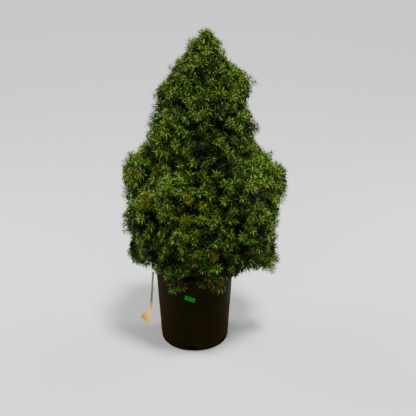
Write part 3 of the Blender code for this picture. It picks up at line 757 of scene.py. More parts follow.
def mix_material(looks):
    """Damp potting mix: dark clods with paler crumbs between them."""
    paint = Paint("potting_mix", looks.mix, 0.95, 0.2)
    where = paint.place()
    clods = paint.noise(where, 160, 5, 0.7)
    paint.set(Base_Color=paint.mix(paint.between(clods, 0.35, 0.7), looks.mix, looks.bark_chip))
    paint.bump(clods, 0.8, 0.0012)
    return paint.material


def chip_material(looks):
    """Bark chips with a grain that runs along them."""
    paint = Paint("bark_chips", looks.bark_chip, 0.9, 0.2)
    grain = paint.noise(paint.place((1, 4, 1)), 300, 3, 0.6)
    paint.set(Base_Color=paint.mix(grain, looks.mix, looks.bark_chip))
    return paint.material


def mix_surface():
    """The mound of potting mix, lumpy on top, over a plain skirt: rings from its base inwards.

    It is level at the trunk and falls evenly to the wall. The lumps fade out at both.
    """
    top = MIX_TOP - MIX_MOUND
    share = np.linspace(0, 1, 46)[1:]
    radii = share * (inner_radius(top) - GAP)
    heights = top + MIX_MOUND * np.clip((1 - share) / (1 - MIX_LEVEL_SHARE), 0, 1)
    grid = turned(radii, heights, MIX_STEPS)
    inside = np.clip((1 - share) * 12, 0, 1)[:, None]
    away = np.clip((radii - MIX_FLAT) / 0.01, 0, 1)[:, None]
    lumps = waves(grid, MIX_LUMP_SIZE, 5, octaves=4) * MIX_LUMP - MIX_SINK
    grid[..., 2] += lumps * inside * away
    radii = (inner_radius(MIX_SKIRT_Z) - 2 * GAP, POT_FOOT_RADIUS - POT_WALL - SLOT_HOLLOW)
    skirt = turned(np.array(radii), np.array((MIX_SKIRT_Z, MIX_BASE)), MIX_STEPS)
    return np.concatenate([grid, skirt])[::-1]


def add_chips(skin, chance):
    """Bark chips lying about on the mix: flat blocks with their corners pushed about."""
    radius = (inner_radius(MIX_TOP) - 0.008) * np.sqrt(chance.uniform(0.06, 1, CHIPS))
    angle = chance.uniform(0, TURN, CHIPS)
    share = radius / inner_radius(MIX_TOP)
    z = MIX_TOP - MIX_MOUND * np.clip(share - MIX_LEVEL_SHARE, 0, 1) / (1 - MIX_LEVEL_SHARE)
    long = unit(chance.normal(size=(CHIPS, 3)) * (1, 1, 0.25))
    side, lift = cross_frame(long)
    sizes = chance.uniform(LEAST_CHIP, LARGEST_CHIP, (CHIPS, 3))
    block = np.array([(x, y, z) for z in (-1, 1) for y in (-1, 1) for x in (-1, 1)])
    reach = block * sizes[:, None] * chance.uniform(0.7, 1.15, (CHIPS, 8, 3))
    points = np.einsum("nkj,njx->nkx", reach, np.stack([long, side, lift], axis=1))
    sides = [(0, 2, 3, 1), (4, 5, 7, 6), (0, 1, 5, 4), (2, 6, 7, 3), (0, 4, 6, 2), (1, 3, 7, 5)]
    skin.add(points + around(angle, radius, z)[:, None], copies(sides, len(block), CHIPS))


def label_surface(across, upward, out):
    """The sticker's place on the tapered wall, tilted a little."""
    run = across * math.cos(LABEL_TILT) - upward * math.sin(LABEL_TILT)
    z = LABEL_Z + across * math.sin(LABEL_TILT) + upward * math.cos(LABEL_TILT)
    azimuth = LABEL_AZIMUTH + run / wall_radius(LABEL_Z)
    return around(azimuth, wall_radius(z) + GAP + out, z)


def add_label(skin):
    """A sticker with rounded corners, and the cells of a few plain bars in a second colour."""
    row, column = np.ogrid[: LABEL_CELLS[0], : LABEL_CELLS[1]]
    bars = np.zeros(LABEL_CELLS, int)
    for low, high, left, right in LABEL_BARS:
        bars |= (row >= low) & (row < high) & (column >= left) & (column < right)
    v, u = (np.linspace(-1, 1, cells + 1) for cells in LABEL_CELLS)
    upward = v[:, None] * LABEL_HEIGHT / 2
    over = np.clip(np.abs(upward) - (LABEL_HEIGHT / 2 - LABEL_CORNER), 0, None)
    reach = LABEL_WIDTH / 2 - LABEL_CORNER + np.sqrt(LABEL_CORNER**2 - over**2)
    front, back = (label_surface(u * reach, upward, out) for out in (LABEL_THICKNESS, 0))
    add_plate(skin, front, back, bars.ravel())


def tag_middle():
    """The strip over the lip, as (distance out, height) rounded at its bends."""
    inside = math.sqrt(inner_radius(POT_HEIGHT) ** 2 - (TAG_WIDTH / 2) ** 2) - GAP - TAG_THICKNESS
    outside = POT_LIP_RADIUS + TAG_OFF_LIP
    top = POT_HEIGHT + GAP + TAG_THICKNESS
    corners = [
        (inside - 0.0016, MIX_TOP - MIX_MOUND + 0.003),
        (inside, POT_HEIGHT - 0.004),
        (inside, top),
        (outside, top),
        (outside, TAG_TWIST_FROM + 0.03),
        (outside, TAG_TWIST_FROM),
    ]
    return rounded(corners, TAG_BENDS)


def tag_grids():
    """Front and back of the strip: flat over the lip, then turning about its front edge."""
    line = tag_middle()
    runs = unit(np.gradient(line, axis=0))
    zero = np.zeros(len(line))
    share = np.linspace(0, 1, 49)[1:]
    turn = TAG_TURN + (TAG_TWIST - TAG_TURN) * share**TAG_TWIST_POWER
    drop = TAG_TWIST_FROM + (TAG_END_Z - TAG_TWIST_FROM) * share
    x = np.concatenate([-line[:, 0], -line[-1, 0] - TAG_FLARE * share])
    z = np.concatenate([line[:, 1], drop])
    after = np.concatenate([zero, share])
    front = np.stack([x, np.full(len(x), -TAG_WIDTH / 2), z], axis=1)
    face_x = np.concatenate([-runs[:, 1], np.cos(turn)])
    sine = np.concatenate([zero, np.sin(turn)])
    faces = np.stack([face_x, sine, np.concatenate([-runs[:, 0], 0 * share])], axis=1)
    widths = np.stack([-sine, np.concatenate([zero + 1, np.cos(turn)]), 0 * x], axis=1)
    across = np.linspace(0, 1, 9)[:, None]
    slants = (TAG_END_SLANT * after**4)[:, None, None] * across
    cups = TAG_CUP * np.sin(np.pi * across) * after[:, None, None]
    grid = front[:, None] + widths[:, None] * TAG_WIDTH * across + UP * slants
    half = faces[:, None] * TAG_THICKNESS / 2
    return grid + faces[:, None] * cups - half, grid + faces[:, None] * cups + half


def card_material(looks):
    """Thin card: pale at its end, with painted shade in dark brown above, where the crown shades
    it.
    """
    paint = Paint("tag_card", looks.card, 0.6, 0.3)
    fibres = paint.noise(paint.place((3, 3, 0.6)), 220, 4, 0.6)
    # Painted shade: the tag turns dark brown above this height, where the crown shades it.
    painted_shade = paint.between(paint.height(paint.place()) + fibres * 0.02, 0.092, 0.122)
    paint.set(Base_Color=paint.mix(painted_shade, looks.card, looks.card_painted_shade))
    paint.bump(fibres, 0.3, 0.0002)
    return paint.material


def bark_material(looks):
    """Scaly young bark: dark cracks round paler plates."""
    paint = Paint("spruce_bark", looks.high, 0.85, 0.25)
    where = paint.place((1, 1, 0.35))
    cells = paint.node("ShaderNodeTexVoronoi", {"feature": "F1"}, {"Vector": where, "Scale": 210})
    cloud = paint.noise(paint.place(), 90, 5, 0.65)
    mask = paint.between(cells * 0.6 + cloud * 0.7, 0.35, 0.85)
    paint.set(Base_Color=paint.mix(mask, looks.high, looks.low))
    paint.bump(1 - mask, 0.7, 0.0008)
    return paint.material


# The crown's frame: trunk, lobes and the limbs that carry them


def trunk_rise(z):
    """0 at the trunk's foot and 1 at its top."""
    return (z - TRUNK_BASE) / (TRUNK_TOP - TRUNK_BASE)


def trunk_axis(z):
    """The trunk's middle at each height: it leans evenly to the right and sways once."""
    rise = trunk_rise(np.asarray(z, float))
    x, y = TRUNK_FOOT_X + TRUNK_LEAN * rise, TRUNK_SWAY * np.sin(TURN * rise)
    return np.stack([x, y, z], axis=-1)


def trunk_flare(z):
    """1 at the foot, falling to 0 at the flare's top."""
    return np.clip(1 - (z - TRUNK_BASE) / FLARE_HEIGHT, 0, None) ** 2


def trunk_radius(z):
    """An even taper, and the flare at the foot."""
    taper = TRUNK_LOW_RADIUS + (TRUNK_TIP_RADIUS - TRUNK_LOW_RADIUS) * trunk_rise(z)
    return taper + FLARE_RADIUS * trunk_flare(z)


def patch_change(points):
    """The sum of the patches' changes at points, each a bell curve round its middle."""
    change = np.zeros(len(points))
    for middle, radius, amount in PATCHES:
        away = np.linalg.norm(points - middle, axis=1)
        change += amount * np.exp(-((away / radius) ** 2))
    return change


class Lobe:
    """One mass of foliage: its middle and reach, and the planes that wall its cell of space."""

    def __init__(self, tier, name, centre, radius, clear=0):
        self.tier, self.name = tier, name
        self.centre, self.radius, self.clear = centre, radius, clear
        self.sprigs = SPRIGS.get(name, ())
        self.heading = unit((centre - trunk_axis(centre[2])) * (1, 1, 0))
        self.normals = np.zeros((0, 3))
        self.limits = self.shared = np.zeros(0)

    def add_wall(self, normal, limit, shared=False):
        """Points of the cell have normal . point under the limit. A shared wall parts two lobes."""
        size = np.linalg.norm(normal)
        self.normals = np.vstack([self.normals, normal / size])
        self.limits = np.append(self.limits, limit / size)
        self.shared = np.append(self.shared, shared)

    def reach(self, rays):
        """Distance from the middle to the lobe's outline along unit rays."""
        return self.radius / np.linalg.norm(flattened(rays), axis=-1)

    def walls_away(self, points, rays, past=0.0):
        """How far off each wall is along the rays, endless where they don't run towards it."""
        closing = rays @ self.normals.T
        left = self.limits + past * self.shared - points @ self.normals.T
        return np.where(closing > TINY, left / np.where(closing > TINY, closing, 1), np.inf)

    def crease(self, rays):
        """1 where the outline meets another lobe's, and less the further off that is.

        It is a bell curve of how far past the outline the shared wall lies.
        """
        away = np.where(self.shared > 0, self.walls_away(self.centre, rays), np.inf)
        past = away.min(axis=-1, initial=np.inf) - self.reach(rays)
        return np.exp(-((past / CREASE_WIDTH) ** 2))

    def swelling(self, rays):
        """How much further foliage runs along rays than the outline: it fills the creases.

        It is lumpy all over as well, and the patches move it in or out.
        """
        places = self.centre + rays * self.reach(rays)[:, None]
        lumps = LUMP_DEPTH * (waves(places, LUMP_SIZE, 41, octaves=2) - 0.5)
        return CREASE_FILL * self.crease(rays) + lumps + PATCH_STEP * patch_change(places)

    def room(self, points, rays, past=0.0, swelling=0.0):
        """How far unit rays run from points before they leave the lobe or its cell.

        They may run past a shared wall by a little, so that neighbouring lobes knit together.
        """
        offset, step = flattened(points - self.centre), flattened(rays)
        a, b = dot(step, step), dot(offset, step)
        c = dot(offset, offset) - (self.radius + swelling) ** 2
        free = (-b + np.sqrt(np.clip(b * b - a * c, 0, None))) / a
        walled = self.walls_away(points, rays, past).min(axis=-1, initial=np.inf)
        return np.minimum(free, walled)


def crown_lobes():
    """The tiers' rings of lobes, some turned, moved and resized."""
    lobes = []
    for tier, count, first, height, distance, radius, clear in TIERS:
        for index in range(count):
            degrees = first + 360 * index / count
            side = COMPASS[round(degrees / 45) % len(COMPASS)]
            name = f"{tier}_{side}" if count > 1 else tier
            turned, further, higher, larger = SHAPED.get(name, (0, 0, 0, 0))
            out = around(math.radians(degrees + turned), distance + further, height + higher)
            centre = out + (CROWN_X, 0, 0)
            lobes.append(Lobe(tier, name, centre, radius + larger, clear))
    return lobes


def droop_lobes():
    """The small sprays that droop over the rim."""
    lobes = []
    for name, degrees, distance, height, radius in DROOPS:
        lobes.append(Lobe("droop", name, around(math.radians(degrees), distance, height), radius))
    return lobes


def wall_off_neighbours(lobes):
    """Puts a wall where two lobes' outlines cross."""
    for lobe in lobes:
        middle = flattened(lobe.centre)
        for other in lobes:
            step = flattened(other.centre) - middle
            span = np.linalg.norm(step)
            if other is lobe or span > lobe.radius + other.radius:
                continue
            share = (span**2 + lobe.radius**2 - other.radius**2) / (2 * span)
            normal = step / span
            lobe.add_wall(flattened(normal), normal @ middle + share, shared=True)


def wall_off_trunk(lobe):
    """Keeps a lobe outside the column that the trunk and its boughs take."""
    if lobe.tier == "leader":
        lobe.add_wall(-UP, -(TRUNK_TOP + GAP))
        return
    inner = trunk_axis(lobe.centre[2]) @ lobe.heading + lobe.clear
    if not lobe.clear:
        heights = lobe.centre[2] + lobe.radius * np.linspace(-1, 1, 9)
        heights = heights.clip(TRUNK_BASE, TRUNK_TOP)
        inner = (trunk_axis(heights) @ lobe.heading + trunk_radius(heights)).max() + GAP
    lobe.add_wall(-lobe.heading, -inner)


def wall_off_pot(lobe):
    """Keeps the hem above the rim and outside it, and makes room for the droops' boughs."""
    out = lobe.heading
    if lobe.tier == "droop":
        lobe.add_wall(-out, -DROOP_INSIDE)
        lobe.add_wall(UP, HEADROOM)
    elif lobe.tier == "hem":
        slope = out * RIM_SLOPE + UP
        lobe.add_wall(-slope, -(RIM_CLEAR_HEIGHT + RIM_SLOPE * RIM_CLEAR_RADIUS))
        if math.acos(-out[1]) < HEADROOM_ARC:
            lobe.add_wall(-UP, -HEADROOM)


def all_lobes():
    """The crown's lobes and the drooping sprays, each walled into its own cell."""
    lobes, droops = crown_lobes(), droop_lobes()
    wall_off_neighbours(lobes)
    for lobe in lobes:
        wall_off_trunk(lobe)
    for lobe in lobes + droops:
        wall_off_pot(lobe)
    return lobes + droops


def limb_root(lobe):
    """The point on the trunk's axis from which a limb rises to the middle of a lobe."""
    run = np.linalg.norm((lobe.centre - trunk_axis(lobe.centre[2]))[:2])
    return trunk_axis(lobe.centre[2] - BOUGH_RISE * run)


def bough_route(lobe):
    """Straight from the trunk towards the middle of a lobe, as far as its inner wall."""
    root = limb_root(lobe)
    slope = unit(lobe.centre - root)
    end = root + slope * (lobe.clear - BOUGH_STOP) / (slope @ lobe.heading)
    return np.linspace(root, end, 4)


def droop_route(lobe):
    """Out from the trunk low over the mix, up over the rim and level to the drooping spray."""
    start = trunk_axis(DROOP_BOUGH_Z[0])
    inside = lobe.centre @ lobe.heading - DROOP_INSIDE + BOUGH_STOP
    end = lobe.centre - lobe.heading * inside
    route = start + (end - start) * np.array(DROOP_BOUGH_AT)[:, None]
    route[:, 2] = DROOP_BOUGH_Z
    return route


def stem_path(lobe):
    """From its bough's tip or the trunk, through the middle of the lobe and past it."""
    past = lobe.radius * STEM_PAST
    if lobe.tier == "leader":
        foot = trunk_axis(TRUNK_TOP)
        rise = lobe.centre[2] - foot[2]
        return foot + np.outer((0, rise, rise + past), UP)
    foot = limb_root(lobe)
    if lobe.tier == "droop":
        route = droop_route(lobe)
        foot = route[-1] + unit(route[-1] - route[-2]) * DROOP_STRAIGHT
    elif lobe.tier in BOUGH_TIERS:
        foot = bough_route(lobe)[-1]
    return np.stack([foot, lobe.centre, lobe.centre + lobe.heading * past])


def fork_points(stem, places):
    """Where on the stem twigs leave it, so that each slants forward to its place."""
    run = stem[-1] - stem[-2]
    share = (places - stem[-2]) @ run / (run @ run) - TWIG_SLANT
    return stem[-2] + run * np.clip(share, FIRST_FORK, LAST_FORK)[:, None]


def bark_ridges(points, seed):
    """0 in the cracks of the bark, 1 on its plates: long up the limb, short round it."""
    return np.clip(np.abs(waves(points * (1, 1, 0.4), 0.011, seed)) * 2.4, 0, 1)


def add_trunk(skin, relief):
    """The trunk: its taper, flare and buttresses, with the bark's plates standing out."""
    z = TRUNK_BASE + (TRUNK_TOP - TRUNK_BASE) * np.linspace(0, 1, 300)
    angle = TURN * np.arange(48) / 48
    ribs = np.cos(FLARE_BUTTRESSES * angle) * FLARE_DEPTH * trunk_flare(z)[:, None]
    radius = trunk_radius(z)[:, None] * (1 + ribs)
    out = around(angle)
    points = trunk_axis(z)[:, None] + out * radius[..., None]
    cracks = relief * np.minimum(1, radius / THIN_BARK) * (1 - bark_ridges(points, 3))
    add_barrels(skin, (points - out * cracks[..., None])[None])


def add_bough(skin, route, root, tip, relief):
    """A bough that tapers from inside the trunk to its lobe, a little rough."""
    t = np.linspace(0, 1, 40)
    at = np.linspace(0, 1, len(route))
    path = np.stack([np.interp(t, at, route[:, axis]) for axis in range(3)], axis=1)
    for _ in range(2):
        path[1:-1] = (path[:-2] + path[1:-1] * 2 + path[2:]) / 4
    radii = root + (tip - root) * t
    rings = tubes(path[None], radii[None], 14)[0]
    cracks = (1 - bark_ridges(rings, 8))[..., None] * relief * BOUGH_RELIEF
    add_barrels(skin, (rings - (rings - path[:, None]) * cracks / radii[:, None, None])[None])


# Twigs, shoots and needles

TONES = ("shade", "deep", "cool", "middle", "bright", "fresh", "bronze")
SHADE, DEEP, COOL, MIDDLE, BRIGHT, LIT_FRESH, BRONZE = range(len(TONES))
# Two needles of every three take a darker tone, as painted shade: their tones, in the order above.
DARKER = np.array((SHADE, SHADE, DEEP, DEEP, COOL, MIDDLE, DEEP))
# How light a spray has to be for each tone after shade.
LIGHT_STEPS = (0.20, 0.52, 0.86, 1.16)
LIGHT_TONES = np.array((SHADE, DEEP, MIDDLE, BRIGHT, LIT_FRESH))
# What makes its painted light: being shallow, leading, high, turned upwards and out of the creases.
LIT_START, LIT_DEPTH, LIT_LEAD = 0.84, 0.026, 0.34
LIT_HEIGHT, LIT_UPWARD, LIT_CREASE = 0.25, 0.15, 0.34
# The share of middle sprays that is cool, low down and how it fades upwards; the rest of bronze.
COOL_LOW, COOL_FADE, NOT_BRONZE = 0.75, 0.7, 0.975
YOUNG, OLD, BUD = range(3)

# Shoots by how deep their tips lie in the crown: from, to, needles as a share of a full shoot's,
# how much larger each is.
LAYERS = (
    (-1.0, 0.012, 0.96, 1.00),
    (0.012, 0.022, 0.72, 1.05),
    (0.022, 0.034, 0.42, 1.20),
)
BUDDED_DEPTH = 0.015
HALVES_Y = 0.01  # parts the front lobes from the back ones
# Old shoots inside, in painted shade: needles as a share of a full shoot's, how much longer and
# wider each is.
INNER_SHARE, INNER_SIZE, INNER_WIDTH = 0.45, 1.4, 2.4

# The top lobe: its share of its outline's reach, less at a slant, more to the right, and its point.
LEADER_SHARE, LEADER_WAIST, LEADER_LEAN, LEADER_POINT = 0.84, 0.80, 0.06, 0.002
# Where twigs end: how far under the crown's face, how far past a shared wall, how far short of
# their room, and the least share of the lobe's reach that makes a twig.
TWIG_UNDER, TWIG_PAST, FACE_SPARE, LEAST_TWIG = 0.022, 0.006, 0.004, 0.30
TWIG_REACH, RAY_SCATTER, TIP_SCATTER = 0.99, 0.05, 0.004
# How twigs bend, as shares of their span, and how drooping ones rise before they hang.
TWIG_PULL, TWIG_SAG = 0.35, 0.10
ARCH_OUT, ARCH_ASIDE, ARCH_TOP, ARCH_BEND = 0.35, 0.55, 0.60, 0.50
# Side shoots: the stretch of a twig that bears them, how much they shorten along it, how they
# splay in radians and lean outwards and up, and the shortest that is kept.
SHOOTS_FROM, SHOOTS_TO, SHOOT_TAPER = 0.30, 0.82, 0.35
SPLAY, INNER_SPLAY, OUTWARD, UPWARD, UPWARD_LIFT = 0.85, 1.2, 0.28, 0.10, 0.3
SHOOT_PAST, LEAST_SHOOT = 0.012, 0.011
LEAD_BACK, LEAD_LENGTH, LEADER_SPARE = 0.006, 0.85, 0.012
INNER_FROM, INNER_TO, INNER_SPARE = 0.10, 0.42, 0.012
TWIG_TIP, SHOOT_TIP = 0.6, 0.65
# Buds: how far back they sit, and their girth and widest place as shares of their length.
BUD_SET, BUD_GIRTH, BUD_WIDEST = 0.001, 0.30, 0.40
# Needles: how they crowd to the tip, how their lean falls off, a blade's depth as a share of its
# width, and the shares of a shoot over which its tip is younger and under which its foot is older.
NEEDLE_CROWD, LEAN_POWER, BLADE_DEPTH = 0.85, 1.6, 0.45
YOUNG_FROM, OLD_TO = 0.66, 0.30
LEAST_NEEDLE, NEEDLE_SWELL = 0.72, 0.42  # lengths at a shoot's ends, and what its middle adds
DARK_LENGTH, LIGHT_LENGTH = 0.95, 1.10


class Shoots:
    """Straight shoots: feet, unit directions, lengths and how deep in the crown each tip lies."""

    def __init__(self, lobe, feet, along, lengths, leads):
        self.feet, self.along, self.lengths, self.leads = feet, along, lengths, leads
        self.tips = feet + along * lengths[:, None]
        away = self.tips - lobe.centre
        rays = unit(away)
        self.depth = lobe_reach(lobe, rays) + lobe.swelling(rays) - np.linalg.norm(away, axis=-1)
        self.crease = lobe.crease(rays)
        self.patch = patch_change(self.tips)
        self.height = (self.tips[:, 2] - FOLIAGE_FOOT) / FOLIAGE_RISE
        self.tones = np.full(len(feet), SHADE)

    def __len__(self):
        return len(self.feet)

    def only(self, kept):
        """The shoots that are kept, with all that is known of them."""
        chosen = object.__new__(Shoots)
        for name, values in vars(self).items():
            setattr(chosen, name, values[kept])
        return chosen


def lobe_reach(lobe, rays):
    """How far a lobe's foliage runs along rays: the top one is pointed and leans to the right."""
    reach = lobe.reach(rays)
    if lobe.tier == "leader":
        level = np.hypot(rays[:, 0], rays[:, 1])
        waist = LEADER_WAIST * (level * rays[:, 2]) ** 2
        reach = reach * (LEADER_SHARE - waist + LEADER_LEAN * rays[:, 0])
        reach = reach + np.clip(rays[:, 2], 0, 1) ** 8 * LEADER_POINT
    return reach


def grow_twigs(lobe, looks, chance):
    """Twigs from the stem to places spread over the lobe, as curves of five points."""
    spacing = looks.spacing * (lobe.radius / SHOOT_LOBE) ** 0.25
    count = round(4 * math.pi * (lobe.radius / spacing) ** 2)
    rays = spiral_rays(count, chance.uniform(0, TURN))
    rays = unit(rays + chance.normal(0, RAY_SCATTER, rays.shape))
    reach, swelling = lobe_reach(lobe, rays), lobe.swelling(rays)
    out = reach * TWIG_REACH + chance.normal(0, TIP_SCATTER, count) + swelling - TWIG_UNDER
    room = lobe.room(lobe.centre, rays, TWIG_PAST, swelling + FACE_SPARE) - FACE_SPARE
    if lobe.tier == "leader":
        room = np.maximum(room, out * (rays[:, 2] > 0))
    length = np.minimum(out, room)
    keep = length > LEAST_TWIG * reach
    rays = rays[keep]
    sprigs = np.array(lobe.sprigs).reshape(-1, 3)
    ahead = unit(sprigs - lobe.centre)
    places = lobe.centre + rays * length[keep, None]
    places = np.concatenate([places, sprigs - ahead * SPRIG_SHOOT])
    rays = np.concatenate([rays, ahead])
    along = unit(rays + UP * LIFTS[lobe.tier] + lobe.heading * SHOOT_LEAN)
    feet = fork_points(stem_path(lobe), places)
    span = np.linalg.norm(places - feet, axis=1)[:, None]
    first = feet + (places - feet) * TWIG_PULL - UP * TWIG_SAG * span
    return bezier(np.stack([feet, first, places - along * span * TWIG_PULL, places], axis=1), 5)


def hanging_twigs(lobe):
    """Twigs that arch out of a drooping spray's foot to either side and hang at their ends."""
    ends = np.array(HANGING[lobe.name]) * lobe.radius
    aside = ends[:, :1] * np.cross(UP, lobe.heading)
    foot = np.broadcast_to(stem_path(lobe)[0], aside.shape)
    over = lobe.centre + lobe.heading * lobe.radius * ARCH_OUT
    top = over + aside * ARCH_ASIDE + UP * lobe.radius * ARCH_TOP
    bend = over + aside + UP * lobe.radius * ARCH_BEND
    return bezier(np.stack([foot, top, bend, over + aside + UP * ends[:, 1:]], axis=1), 5)


def points_along(paths, share):
    """Points on each path at shares of its length, and the unit direction there."""
    place = share * (paths.shape[1] - 1)
    index = np.clip(place.astype(int), 0, paths.shape[1] - 2)
    rows = np.arange(len(paths))[:, None]
    step = paths[rows, index + 1] - paths[rows, index]
    return paths[rows, index] + step * (place - index)[..., None], unit(step)


def side_shoots(lobe, paths, share, splay, chance):
    """Shoots off each twig, turned on by the golden angle, that lean out and up."""
    feet, axis = points_along(paths, share)
    spin = chance.uniform(0, TURN, (len(paths), 1)) + GOLDEN_ANGLE * np.arange(share.shape[1])
    radial = swung(*cross_frame(axis), spin)
    along = swung(axis, radial, chance.normal(splay, 0.13, share.shape))
    upward = UPWARD + UPWARD_LIFT * LIFTS[lobe.tier]
    along = unit(along + unit(feet - lobe.centre) * OUTWARD + UP * upward)
    return feet.reshape(-1, 3), along.reshape(-1, 3)


def box_room(feet, along):
    """How far shoots run before the needles at their tips would pass the object's size."""
    low, high = np.array(CAD_BOX)
    edge = np.where(along > 0, high + BOX_SPARE, low - BOX_SPARE)
    away = np.where(np.abs(along) > NEARLY_LEVEL, along, NEARLY_LEVEL)
    return ((edge - feet) / away).min(axis=-1)


def grow_shoots(lobe, paths, looks, chance):
    """A leading shoot that ends each twig at the crown's face, and side shoots under it."""
    twigs, count = len(paths), looks.shoots
    share = np.linspace(SHOOTS_FROM, SHOOTS_TO, count) + chance.normal(0, 0.03, (twigs, count))
    taper = 1.0 - SHOOT_TAPER * share
    lengths = looks.shoot_length * taper * chance.normal(1, 0.12, share.shape)
    feet, along = side_shoots(lobe, paths, share, SPLAY, chance)
    last = paths[:, -1] - paths[:, -2]
    ends = unit(unit(last) + chance.normal(0, 0.10, last.shape))
    leads = np.arange(len(feet) + twigs) >= len(feet)
    feet = np.concatenate([feet, paths[:, -1] - ends * LEAD_BACK])
    along = np.concatenate([along, ends])
    tips = looks.shoot_length * chance.normal(LEAD_LENGTH, 0.10, twigs)
    lengths = np.concatenate([lengths.ravel(), tips])
    spare = np.full(twigs, LEADER_SPARE if lobe.tier == "leader" else 0.0)
    spare[twigs - len(lobe.sprigs) :] = SPRIG_SHOOT
    spare = np.concatenate([np.repeat(spare, count), spare])
    swelling = lobe.swelling(unit(feet - lobe.centre))
    room = lobe.room(feet, along, SHOOT_PAST, swelling + FACE_SPARE) - FACE_SPARE + spare
    lengths = np.minimum(np.minimum(lengths, room), box_room(feet, along))
    keep = lengths > LEAST_SHOOT
    return Shoots(lobe, feet[keep], along[keep], lengths[keep], leads[keep])


def grow_inner(lobe, paths, looks, chance):
    """Old shoots low on the twigs, in painted shade, which close the view through the middle of a
    lobe.
    """
    share = chance.uniform(INNER_FROM, INNER_TO, (len(paths), looks.inner))
    feet, along = side_shoots(lobe, paths, share, INNER_SPLAY, chance)
    room = lobe.room(feet, along) - INNER_SPARE
    keep = room > INNER_SPARE
    lengths = np.minimum(looks.shoot_length, room)[keep]
    return Shoots(lobe, feet[keep], along[keep], lengths, np.zeros(len(lengths), bool))


def deal_tones(shoots, lobe, chance):
    """A tone for each spray as painted light and shade: paler outside and high up, darker in a
    crease.

    A few are bronze.
    """
    light = LIT_START - shoots.depth / LIT_DEPTH + shoots.leads * LIT_LEAD
    light += shoots.height * LIT_HEIGHT + shoots.along[:, 2] * LIT_UPWARD
    light += shoots.patch - shoots.crease * LIT_CREASE + chance.normal(0, 0.09, len(shoots))
    light += chance.normal(0, 0.05) + LOBE_PAINTED_LIGHT.get(lobe.name, 0)
    tones = LIGHT_TONES[np.digitize(light, LIGHT_STEPS)]
    draw = chance.random(len(shoots))
    cool = (tones == MIDDLE) & (draw < COOL_LOW - shoots.height * COOL_FADE)
    bronze = (tones >= MIDDLE) & (draw > NOT_BRONZE)
    shoots.tones = np.select([cool, bronze], [COOL, BRONZE], tones)


def needle_rows(shoots, looks, share_of, size, chance):
    """Roots, directions, lengths and tones of needles: a golden spiral up each shoot.

    Each leans off the shoot by an angle that falls from its foot to its tip, and is longest at its
    middle.
    """
    full = 1 + LEAD_EXTRA * shoots.leads
    counts = (looks.at_tip * full**2 + looks.per_metre * shoots.lengths * full) * share_of
    counts = np.round(counts).astype(int)
    shoot = np.repeat(np.arange(len(shoots)), counts)
    step = np.arange(len(shoot)) - np.repeat(np.cumsum(counts) - counts, counts)
    share = (step + chance.uniform(0.2, 0.8, len(shoot))) / counts[shoot]
    share = looks.bare + (1 - looks.bare) * share**NEEDLE_CROWD
    spin = GOLDEN_ANGLE * step + chance.uniform(0, TURN, len(shoots))[shoot]
    along = shoots.along[shoot]
    radial = swung(*cross_frame(along), spin)
    lean = looks.root_angle + (looks.tip_angle - looks.root_angle) * share**LEAN_POWER
    lean = lean + chance.normal(0, 0.13, len(shoot))
    roots = shoots.feet[shoot] + along * (share * shoots.lengths[shoot])[:, None]
    swell = LEAST_NEEDLE + NEEDLE_SWELL * np.sin(np.pi * np.clip(share * 0.9 + 0.08, 0, 1))
    lengths = looks.length * size * swell * chance.normal(1, 0.09, len(shoot))
    tones = shoots.tones[shoot]
    young, old = share > YOUNG_FROM, share < OLD_TO
    brighter = [young & (tones == BRIGHT), young & ((tones == MIDDLE) | (tones == COOL))]
    tones = np.select([*brighter, old & (tones == LIT_FRESH)], [LIT_FRESH, BRIGHT, BRIGHT], tones)
    # Painted shade: two needles of every three take the darker tone, and are a little shorter.
    dark = (step % 3 > 0) & (tones > SHADE) & (tones != BRONZE)
    lengths = lengths * np.where(dark, DARK_LENGTH, LIGHT_LENGTH)
    return roots, swung(along, radial, lean), lengths, np.where(dark, DARKER[tones], tones)


def add_needles(skin, roots, rays, lengths, tones, width, widest):
    """Needles as closed blades of four faces: a root, a tip and two corners where it is widest.

    Both corners stand a little off the line from root to tip, which gives the blade its thickness.
    """
    side, lift = cross_frame(rays)
    middle = roots + rays * (lengths * widest)[:, None] + lift * width * BLADE_DEPTH
    edge, tips = side * width / 2, roots + rays * lengths[:, None]
    faces = copies([(0, 1, 2), (3, 2, 1), (0, 2, 3), (0, 3, 1)], 4, len(roots))
    skin.add(np.stack([roots, middle - edge, middle + edge, tips], 1), faces, np.repeat(tones, 4))


def add_buds(skin, shoots, looks, tone):
    """A bud at each tip: a spindle with four sides."""
    along = shoots.along[:, None]
    foot = shoots.tips[:, None] - along * BUD_SET
    side, lift = cross_frame(along)
    out = swung(side, lift, TURN * np.arange(4) / 4) * looks.bud_length * BUD_GIRTH
    belt = foot + along * looks.bud_length * BUD_WIDEST + out
    points = np.concatenate([foot, belt, foot + along * looks.bud_length], axis=1)
    belt = [(1, 2), (2, 3), (3, 4), (4, 1)]
    faces = [(0, after, this) for this, after in belt] + [(5, *edge) for edge in belt]
    skin.add(points, copies(faces, 6, len(foot)), np.repeat(tone, len(faces)))


def add_shoot_wood(skin, shoots, looks, tone):
    """Each shoot's wood: a thin tube that tapers to its tip."""
    lines = np.stack([shoots.feet, shoots.tips], axis=1)
    radii = np.broadcast_to(looks.shoot_radius * np.array((1, SHOOT_TIP)), lines.shape[:2])
    add_barrels(skin, tubes(lines, radii, 3), tone)


